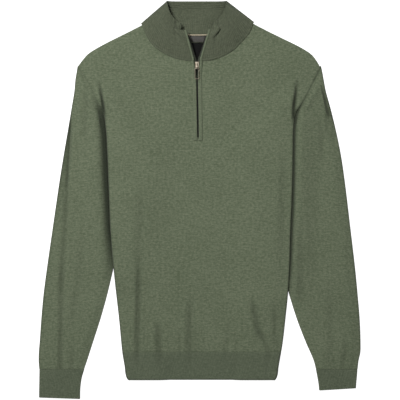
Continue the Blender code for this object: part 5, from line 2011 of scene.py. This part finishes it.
    def normal(self, t: Array | float, v: Array | float) -> Array:
        """The collar's outward normals.

        Args:
            t: section numbers.
            v: shares of the way from the seam to the top edge.

        Returns:
            The normals (..., 3).
        """
        t, v = np.asarray(t, float), np.asarray(v, float)
        first = self.point(np.maximum(t - 0.1, 0), v)
        last = self.point(np.minimum(t + 0.1, self.last), v)
        low, high = self.point(t, np.maximum(v - 0.05, 0)), self.point(t, np.minimum(v + 0.05, 1))
        normal = np.cross(high - low, last - first)
        return normal / np.linalg.norm(normal, axis=-1)[..., None]

    def surface(self) -> Array:
        """Middle surface, with the back's cross ridges near its top edge and a trough at each side.

        Returns:
            Rows of places.
        """
        stations = np.linspace(0.0, self.last, int(self.last) * self.steps + 1)
        t, v = np.meshgrid(stations, np.linspace(0.0, 1.0, self.rows + 1))
        number, from_top = self.sections.at("seam", t), (1 - v) * self.height
        back = smooth((0.52 - np.abs(number - 1.5)) / 0.1)
        wave = np.sin(2 * math.pi * from_top / self.ridge_pitch) * smooth(from_top / 3.0)
        wave = wave * smooth((20.0 - from_top) / 6.0) * self.ridge_height * back
        for side, (high, low, depth) in self.troughs.items():
            away = number if side is Side.LEFT else 3.0 - number
            off = (away - (low + (high - low) * v)) / 0.045
            wave = wave - depth * bell(off) * smooth((v - 0.25) / 0.6)
        return self.point(t, v) + self.normal(t, v) * wave[..., None]

    def painted_shadow_beside_lips(self, x: Array, y: Array) -> Array:
        """Painted shadow on the back's inner face beside the front's top edges, at each place.

        Args:
            x: places across.
            y: places along.

        Returns:
            Shares from 0 to 1.
        """
        total = np.zeros(np.broadcast(x, y).shape)
        for side, first, last in ((Side.LEFT, 2.5, 9.0), (Side.RIGHT, 23.5, 17.0)):
            edge = self.point(np.linspace(first, last, 40), 1.0)
            past = side.inward * (x - np.interp(y, edge[:, 1], edge[:, 0])) - self.lip_half
            ends = smooth((y - edge[0, 1]) / 6.0) * smooth((edge[-1, 1] - y) / 3.0 + 0.5)
            total = total + self.lip_shade * ends * np.where(past < 0, 0.0, np.exp(-past / 2.2))
        return total

    def place(self, side: Side, away: Array, v: float, out: Array | float) -> Array:
        """Places beside the collar's zip edge.

        Args:
            side: which zip edge.
            away: distances from the edge along the collar, less than 0 beyond it.
            v: share of the way from the seam to the top edge.
            out: distance outward from the middle surface.

        Returns:
            The places.
        """
        end, step = (0.0, 1.0) if side is Side.LEFT else (self.last, -1.0)
        edge, inside = self.point(end, v), self.point(end + step, v)
        length = float(np.linalg.norm(inside - edge))
        place = self.point(end + step * np.maximum(0.0, away) / length, v)
        beyond = np.maximum(0.0, -away)[..., None] * (edge - inside) / length
        out = np.broadcast_to(out, away.shape)[..., None]
        return place + beyond + self.normal(end + step * 0.5, v) * out

    def build(self, rib: Finish) -> object:
        """Makes the collar.

        Args:
            rib: the rib knit.

        Returns:
            The piece.
        """
        places = self.surface()
        height = np.linalg.norm(np.diff(places, axis=0), axis=-1)
        up = np.concatenate((np.zeros((1, places.shape[1])), np.cumsum(height, axis=0)))
        patch = Patch(places, stacked(run_along(places)[self.rows // 2], up) * MM, turned=True)
        return self.garment.shell("collar_band", [patch], rib, "collar",
                                  self.garment.form.collar_wall, 1.2, self.painted_shadow_beside_lips)


@dataclass
class NeckTrims:
    """What is sewn inside the back of the neck: piping, a satin tape and a bare woven label."""

    garment: Garment
    piping_edges: tuple[float, float] = (1.2, 4.2)
    piping_thick: float = 0.9
    tape_edges: tuple[float, float] = (4.6, 17.6)
    tape_thick: float = 0.6
    label_x: tuple[float, float] = (-30.0, 22.0)
    label_y: tuple[float, float] = (272.0, 314.8)
    label_thick: float = 0.6
    ends: tuple[tuple[float, float], ...] = ((-92.0, 344.5), (84.0, 346.5))

    def strip(self, name: str, edges: tuple[float, float], thick: float, crown: float) -> object:
        """A strip along the neck seam.

        Args:
            name: the piece's name.
            edges: distances of its two edges from the seam.
            thick: its thickness at the edges' roundings.
            crown: how round it is, from 0, flat, to 1.

        Returns:
            The object.
        """
        form, low, high = self.garment.form, [], []
        seam = Path((self.ends[0], *form.back_neck, self.ends[1]))
        x, seam_y = seam.at(np.linspace(0.0, 1.0, 90)).T
        floor = form.knit + form.seam
        for share in np.linspace(0.0, 1.0, 9):
            y = seam_y - (edges[0] + (edges[1] - edges[0]) * share)
            round_off = (1 - crown) + crown * math.sqrt(max(0.0, 1 - (2 * share - 1) ** 2))
            low.append(stacked(x, y, floor))
            high.append(stacked(x, y, floor + max(0.12, thick * round_off)))
        grid = np.array(low)
        slab = self.garment.slab(name, grid, np.array(high), grid[..., :2] * MM)
        return self.garment.settle(slab)

    def label(self) -> object:
        """The label: a flat patch with soft edges.

        Returns:
            The object.
        """
        form = self.garment.form
        (left, right), (low, high) = self.label_x, self.label_y
        x, y = np.meshgrid(np.linspace(left, right, 27), np.linspace(low, high, 23))
        floor = form.knit + form.seam
        inset = np.minimum(np.minimum(x - left, right - x), np.minimum(y - low, high - y))
        lift = self.label_thick * (0.55 + 0.45 * smooth(inset / 2.2))
        slab = self.garment.slab("label_patch", stacked(x, y, floor), stacked(x, y, floor + lift),
                                 stacked(x, y) * MM)
        return self.garment.settle(slab)

    def build(self, piping: Finish, satin: Finish, label: Finish) -> list[object]:
        """Makes the three trims.

        Args:
            piping: the pale cord cloth.
            satin: the neck tape's cloth.
            label: the label's cloth.

        Returns:
            The pieces.
        """
        cord = dress(self.strip("piping_cord", self.piping_edges, self.piping_thick, 0.85),
                     piping, "neck_piping")
        tape = dress(self.strip("satin_tape", self.tape_edges, self.tape_thick, 0.1),
                     satin, "neck_tape")
        patch = dress(self.label(), label, "neck_label")
        return [cord, tape, patch]


# --- Zip ---


def refined(rows: Array, count: int) -> Array:
    """Rows of places, read again at more rows on a smooth curve.

    Args:
        rows: places (rows, columns, 3).
        count: rows to return.

    Returns:
        Places (count, columns, 3).
    """
    keys = np.arange(len(rows))
    at = np.linspace(0.0, len(rows) - 1.0, count)
    flat = rows.reshape(len(rows), -1)
    columns = [curve_at(keys, flat[:, i], at) for i in range(flat.shape[1])]
    return np.stack(columns, axis=-1).reshape((count,) + rows.shape[1:])


@dataclass
class Zip:
    """The zip's cloth edgings, its tapes and its teeth, from its foot to the collar's top."""

    garment: Garment
    collar: Collar
    foot_shares: tuple[float, ...] = (-0.03, 0.06, 0.2, 0.36, 0.52, 0.68, 0.82, 0.92, 1.0)
    collar_shares: tuple[float, ...] = (0.06, 0.2, 0.4, 0.6, 0.8, 1.0)
    welt_wide: float = 7.4
    welt_narrow: float = 4.2
    welt_thick: float = 1.6
    tape_thick: float = 0.8
    tape_width: float = 10.0
    rows: int = 110

    def panel_y(self, share: float) -> float:
        """Height on the plan at a share of the zip's run on the panel."""
        form = self.garment.form
        return form.slit_bottom + (form.collar_foot - 1.5 - form.slit_bottom) * share

    def welt_rows(self, side: Side) -> tuple[Array, Array]:
        """Lower places of one edging, and how far and which way it rises from each.

        Args:
            side: which edging.

        Returns:
            Places (rows, columns, 3), and rises of the same shape.
        """
        form, sign = self.garment.form, -side.inward
        across = np.linspace(0.0, 1.0, 9)
        crown = self.welt_thick * (0.42 + 0.58 * np.sin(math.pi * across) ** 0.55)
        base, rise = [], []
        for share in self.foot_shares:
            y = self.panel_y(share)
            opened = float(smooth((share - 0.86) / 0.14))
            width = self.welt_wide + (self.welt_narrow - self.welt_wide) * opened
            xs = form.zip_x(y) + sign * (1.7 + 5.0 * opened + width * across)
            z = form.front_height(xs, np.full_like(xs, y)).max() + form.knit / 2 + form.seam
            z += (form.collar_wall - form.knit + form.seam) * smooth((share - 0.82) / 0.18)
            base.append(stacked(xs, y, z))
            rise.append(stacked(0.0, 0.0, crown))
        aways, outs = self.welt_narrow * across - 0.4, form.collar_wall / 2 + form.seam
        for v in self.collar_shares:
            base.append(self.collar.place(side, aways, v, outs))
            rise.append(self.collar.place(side, aways, v, outs + crown) - base[-1])
        return np.array(base), np.array(rise)

    def tape_rows(self, side: Side) -> tuple[Array, Array]:
        """Upper places of one tape from its inner edge outward, and the way to its underside.

        Args:
            side: which tape.

        Returns:
            Places (rows, columns, 3), and ways of the same shape.
        """
        form, sign = self.garment.form, -side.inward
        base, sink = [], []
        for share in self.foot_shares[:-2]:
            y = self.panel_y(share)
            xs = form.zip_x(y) + sign * 0.3 + sign * self.tape_width * np.linspace(0.0, 1.0, 5)
            z = form.front_height(xs + sign * 4.0, np.full_like(xs, y)).min()
            z = z - form.knit / 2 - form.seam - 0.2 - 0.9 * smooth((share - 0.68) / 0.24)
            base.append(stacked(xs, y, z))
            sink.append(stacked(xs * 0, 0.0, -self.tape_thick))
        aways, out = np.linspace(-4.2, 4.5, 5), -form.collar_wall / 2 - form.seam - 0.2
        for v in (0.0,) + self.collar_shares[1:-1]:
            base.append(self.collar.place(side, aways, v, out))
            sink.append(self.collar.place(side, aways, v, out - self.tape_thick) - base[-1])
        return np.array(base), np.array(sink)

    def strip(self, name: str, base: Array, rise: Array) -> object:
        """A closed strip, made finer along its length.

        Args:
            name: the piece's name.
            base: places (rows, columns, 3).
            rise: the way from each to the strip's other face.

        Returns:
            The object.
        """
        low, up = refined(base, self.rows), refined(rise, self.rows)
        along = run_along(low[:, :1].swapaxes(0, 1)).T
        run = stacked(run_along(low), along) * MM
        return self.garment.settle(self.garment.slab(name, low, low + up, run))

    def build(self, knit: Finish, tape: Finish) -> list[object]:
        """Makes the edgings and tapes.

        Args:
            knit: the edgings' cloth.
            tape: the zip tapes' cloth.

        Returns:
            The pieces.
        """
        made = []
        for side in Side:
            welt = self.strip("zip_edging_" + side.value, *self.welt_rows(side))
            made.append(dress(welt, knit, "zip_welt_" + side.value))
            cloth = self.strip("tape_of_zip_" + side.value, *self.tape_rows(side))
            made.append(dress(cloth, tape, "zip_tape_" + side.value))
        return made


# --- Rows of small pieces ---


@dataclass(frozen=True)
class Line:
    """A line over the cloth: its places in millimetres and the way up from each."""

    places: Array
    up: Array


@dataclass
class SmallPieces:
    """Sets one small piece again and again along a line, by a node group."""

    garment: Garment

    @staticmethod
    def tree() -> object:
        """The node group: resamples a line and sets a turned piece on each of its points.

        Returns:
            The group, written on its first use.
        """
        if "pieces_along_line" in bpy.data.node_groups:
            return bpy.data.node_groups["pieces_along_line"]
        made = bpy.data.node_groups.new("pieces_along_line", "GeometryNodeTree")
        for label, kind in (("Line", "Geometry"), ("Piece", "Object"), ("Pitch", "Float"),
                            ("Finish", "Material")):
            made.interface.new_socket(label, in_out="INPUT", socket_type="NodeSocket" + kind)
        made.interface.new_socket("Pieces", in_out="OUTPUT", socket_type="NodeSocketGeometry")
        w = Wiring(made)
        given = w.node("NodeGroupInput").outputs

        def step(kind: str, values: dict[str, object] | None = None, **settings: object) -> object:
            """The first output of a new node."""
            return w.node(kind, values, **settings).outputs[0]

        curve = step("GeometryNodeMeshToCurve", {"Mesh": given["Line"]})
        spaced = step("GeometryNodeResampleCurve", {"Curve": curve, "Length": given["Pitch"]},
                      mode="LENGTH")
        up = step("GeometryNodeInputNamedAttribute", {"Name": "up"}, data_type="FLOAT_VECTOR")
        tangent = step("GeometryNodeInputTangent")
        ahead = step("FunctionNodeAlignRotationToVector", {"Vector": tangent}, axis="X")
        level = step("FunctionNodeAlignRotationToVector", {"Rotation": ahead, "Vector": up},
                     axis="Z", pivot_axis="X")
        piece = w.node("GeometryNodeObjectInfo", {"Object": given["Piece"]}).outputs["Geometry"]
        placed = step("GeometryNodeInstanceOnPoints",
                      {"Points": spaced, "Instance": piece, "Rotation": level})
        real = step("GeometryNodeRealizeInstances", {"Geometry": placed})
        dressed = step("GeometryNodeSetMaterial", {"Geometry": real, "Material": given["Finish"]})
        w.feed(w.node("NodeGroupOutput"), {"Pieces": dressed})
        return made

    def along(self, name: str, lines: Sequence[Line], shape: object, pitch: float,
              finish: Finish) -> object:
        """One object of equal pieces along lines.

        Args:
            name: the object's name.
            lines: the lines.
            shape: the small piece, with its length along X and its top along Z.
            pitch: distance between pieces in millimetres.
            finish: what they are made of.

        Returns:
            The object.
        """
        points = self.garment.world(np.concatenate([line.places for line in lines]))
        edges, start = [], 0
        for line in lines:
            edges += [(k, k + 1) for k in range(start, start + len(line.places) - 1)]
            start += len(line.places)
        data = bpy.data.meshes.new(name)
        data.from_pydata(points.tolist(), edges, [])
        up = data.attributes.new("up", "FLOAT_VECTOR", "POINT")
        ups = np.concatenate([line.up for line in lines]).astype(np.float32)
        up.data.foreach_set("vector", ups.ravel())
        made = link(name, data)
        nodes = made.modifiers.new("pieces", "NODES")
        nodes.node_group = self.tree()
        sockets = {item.name: item.identifier for item in nodes.node_group.interface.items_tree
                   if item.in_out == "INPUT"}
        nodes[sockets["Piece"]] = shape
        nodes[sockets["Pitch"]] = pitch * MM
        nodes[sockets["Finish"]] = finish.material()
        self.garment.settle(made)
        return dress(made, finish)

    @staticmethod
    def bead(name: str, size: tuple[float, float, float], waist: float = 1.0) -> object:
        """A small rounded piece, narrower in its middle if the waist is under 1.

        Args:
            name: its name.
            size: length, width and height in millimetres.
            waist: the middle's share of the width.

        Returns:
            The object, which the scene doesn't show.
        """
        points, faces, around = [], [], 6
        marks = ((-0.5, 0.45), (-0.36, 0.9), (0.0, waist), (0.36, 0.9), (0.5, 0.45))
        for x, wide in marks:
            for k in range(around):
                turn = 2 * math.pi * (k + 0.5) / around
                points.append((x * size[0] * MM, wide * size[1] / 2 * math.cos(turn) * MM,
                               wide * size[2] / 2 * math.sin(turn) * MM))
        for row in range(len(marks) - 1):
            for k in range(around):
                a, b = row * around + k, row * around + (k + 1) % around
                faces.append((a, a + around, b + around, b))
        faces.append(tuple(range(around)))
        faces.append(tuple(range(len(points) - 1, len(points) - around - 1, -1)))
        data = bpy.data.meshes.new(name)
        data.from_pydata(points, [], faces)
        data.flip_normals()
        data.shade_smooth()
        return bpy.data.objects.new(name, data)


@dataclass
class Stitching:
    """Rows of small stitches, and the zip's teeth."""

    garment: Garment
    collar: Collar
    zipper: Zip
    stitch_size: tuple[float, float, float] = (2.1, 0.62, 0.5)
    stitch_pitch: float = 2.5
    tooth_size: tuple[float, float, float] = (0.95, 2.3, 1.3)
    tooth_pitch: float = 1.5

    def on_top(self, piece: object, plan: Sequence[tuple[float, float]], lift: float) -> Line:
        """A line laid on a piece from above.

        Args:
            piece: what it lies on.
            plan: its places on the plan.
            lift: how far it lies over the cloth.

        Returns:
            The line, without the places that miss the piece.
        """
        data = piece.data
        tree = BVHTree.FromPolygons([v.co for v in data.vertices],
                                    [tuple(p.vertices) for p in data.polygons])
        places, ups = [], []
        for x, y in plan:
            start = self.garment.world((x, y, 60.0))
            hit, normal, _, _ = tree.ray_cast(Vector(start), Vector((0.0, 0.0, -1.0)))
            if hit is not None:
                place = np.array(hit) / MM - self.garment.shift
                places.append(place + np.array(normal) * lift)
                ups.append(np.array(normal))
        return Line(np.array(places), np.array(ups))

    def neck(self) -> list[Line]:
        """The linked seam where the collar joins the front.

        Returns:
            Its two lines.
        """
        lines, out = [], self.garment.form.collar_wall / 2 + 0.12
        for first, last in ((0.2, 8.2), (17.8, 25.8)):
            t = np.linspace(first, last, 150)
            v = np.full_like(t, 0.035)
            up = self.collar.normal(t, v)
            lines.append(Line(self.collar.point(t, v) + up * out, up))
        return lines

    def teeth(self, side: Side) -> Line:
        """The line of one tape's teeth, along its inner edge.

        Args:
            side: which tape.

        Returns:
            The line, where the right side's starts half a tooth later.
        """
        base, sink = self.zipper.tape_rows(side)
        count, shift = 220, 0.0 if side is Side.LEFT else self.tooth_pitch / 2
        places, up = refined(base[:, :1], count)[:, 0], -refined(sink[:, :1], count)[:, 0]
        up = up / np.linalg.norm(up, axis=1)[:, None]
        length = float(np.linalg.norm(np.diff(places, axis=0), axis=1).sum())
        cut = int(round(count * shift / length)) + 1
        across = side.inward * np.array((0.25, 0.0, 0.0))
        return Line((places + up * 0.35 + across)[cut:], up[cut:])

    def build(self, pieces: dict[str, object], yarn: Finish, coil: Finish) -> dict[str, object]:
        """Makes the stitches and the teeth.

        Args:
            pieces: the cloth pieces by name.
            yarn: the stitches' yarn.
            coil: the teeth's finish.

        Returns:
            The rows by name.
        """
        form, small = self.garment.form, SmallPieces(self.garment)
        stitch = small.bead("stitch", self.stitch_size, 0.8)
        tooth = small.bead("tooth", self.tooth_size, 1.0)
        made = {"neck_stitches": small.along("neck_stitches", self.neck(), stitch,
                                             self.stitch_pitch, yarn)}
        for side in Side:
            name = "teeth_" + side.value
            made[name] = small.along(name, [self.teeth(side)], tooth, self.tooth_pitch, coil)
        hem_y = form.hem_top - 2.6
        xs = np.linspace(float(form.edge(Side.LEFT, hem_y)) + 6.0,
                         float(form.edge(Side.RIGHT, hem_y)) - 6.0, 160)
        plans = {"hem": ("hem_rib", [(x, hem_y) for x in xs])}
        for side in Side:
            ends = Cuff(self.garment, side).ends(0.12)
            plan = [(ends[0] + (ends[1] - ends[0]) * f, ends[2] + (ends[3] - ends[2]) * f)
                    for f in np.linspace(0.03, 0.97, 50)]
            plans["cuff_" + side.value] = ("cuff_rib_" + side.value, plan)
            ys = np.linspace(form.armhole_foot + 92.0, 262.0, 60)
            plan = [(float(form.edge(side, y)) - side.inward * 2.2, y) for y in ys]
            plans["armhole_" + side.value] = ("sleeve_of_" + side.value, plan)
        for name, (under, plan) in plans.items():
            line = self.on_top(pieces[under], plan, 0.1)
            name += "_stitches"
            made[name] = small.along(name, [line], stitch, self.stitch_pitch, yarn)
        return made


@dataclass
class Studio:
    """A white floor, soft light from the upper left, and a camera straight above."""

    lens: float = 100.0
    sensor: float = 36.0
    frame_width: float = 0.8
    floor_half: float = 40.0
    look_at: tuple[float, float] = (0.00068, -0.00002)

    def build(self) -> None:
        """Makes the floor, the lights, the world and the camera."""
        size, depth = self.floor_half, -0.0006
        corners = [(x * size, y * size, depth) for x, y in ((-1, -1), (1, -1), (1, 1), (-1, 1))]
        data = bpy.data.meshes.new("floor")
        data.from_pydata(corners, [], [(0, 1, 2, 3)])
        floor = link("floor", data)
        white = bpy.data.materials.new("floor")
        white.use_nodes = True
        w = Wiring(white.node_tree)
        w.feed(white.node_tree.nodes["Principled BSDF"], {
            "Base Color": (0.35, 0.35, 0.35, 1.0), "Roughness": 1.0,
            "Emission Color": (1.0, 1.0, 1.0, 1.0),
            "Emission Strength": w.node("ShaderNodeLightPath").outputs["Is Camera Ray"],
        })
        data.materials.append(white)
        world = bpy.data.worlds.new("studio")
        world.use_nodes = True
        w = Wiring(world.node_tree)
        seen = w.node("ShaderNodeLightPath").outputs["Is Camera Ray"]
        w.feed(world.node_tree.nodes["Background"], {
            "Color": (1.0, 1.0, 1.0, 1.0), "Strength": w.math("MULTIPLY_ADD", seen, 0.88, 0.12)})
        bpy.context.scene.world = world
        for name, place, energy, width in (
            ("key", (-0.75, 0.85, 2.0), 49.0, 0.6), ("fill", (1.3, -0.6, 1.8), 8.0, 1.2),
        ):
            light = bpy.data.lights.new(name, "AREA")
            light.energy, light.size = energy, width
            lamp = link(name, light)
            lamp.location = place
            lamp.rotation_euler = (-Vector(place)).to_track_quat("-Z", "Y").to_euler()
        camera = bpy.data.cameras.new("camera")
        camera.lens, camera.sensor_width = self.lens, self.sensor
        eye = link("camera", camera)
        eye.location = (*self.look_at, self.lens / self.sensor * self.frame_width + 0.004)
        bpy.context.scene.camera = eye
        bpy.context.scene.view_settings.view_transform = "Standard"


def main() -> None:
    """Builds, dresses and lights the sweater."""
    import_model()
    form = Form()
    garment = Garment(form, (-30.0, 272.0))
    panels = Panels(garment)
    cloth = panels.build(KNIT)
    pieces = {piece.name: piece for piece in cloth}
    for side in Side:
        for piece in (Sleeve(garment, side).build(KNIT), Cuff(garment, side).build(RIB)):
            pieces[piece.name] = piece
    pieces["hem_rib"] = Hem(garment).build(RIB)
    collar = Collar(garment, panels)
    pieces["collar_band"] = collar.build(COLLAR_RIB)
    NeckTrims(garment).build(PIPING, SATIN, LABEL)
    zipper = Zip(garment, collar)
    edged = zipper.build(EDGING, TAPE)
    rows = Stitching(garment, collar, zipper).build(pieces, YARN, COIL)
    for node in ("zip_slider", "zip_pull"):
        for slot in bpy.data.objects[node].material_slots:
            slot.material = NICKEL.material()
    Studio().build()


if __name__ == "__main__":
    main()
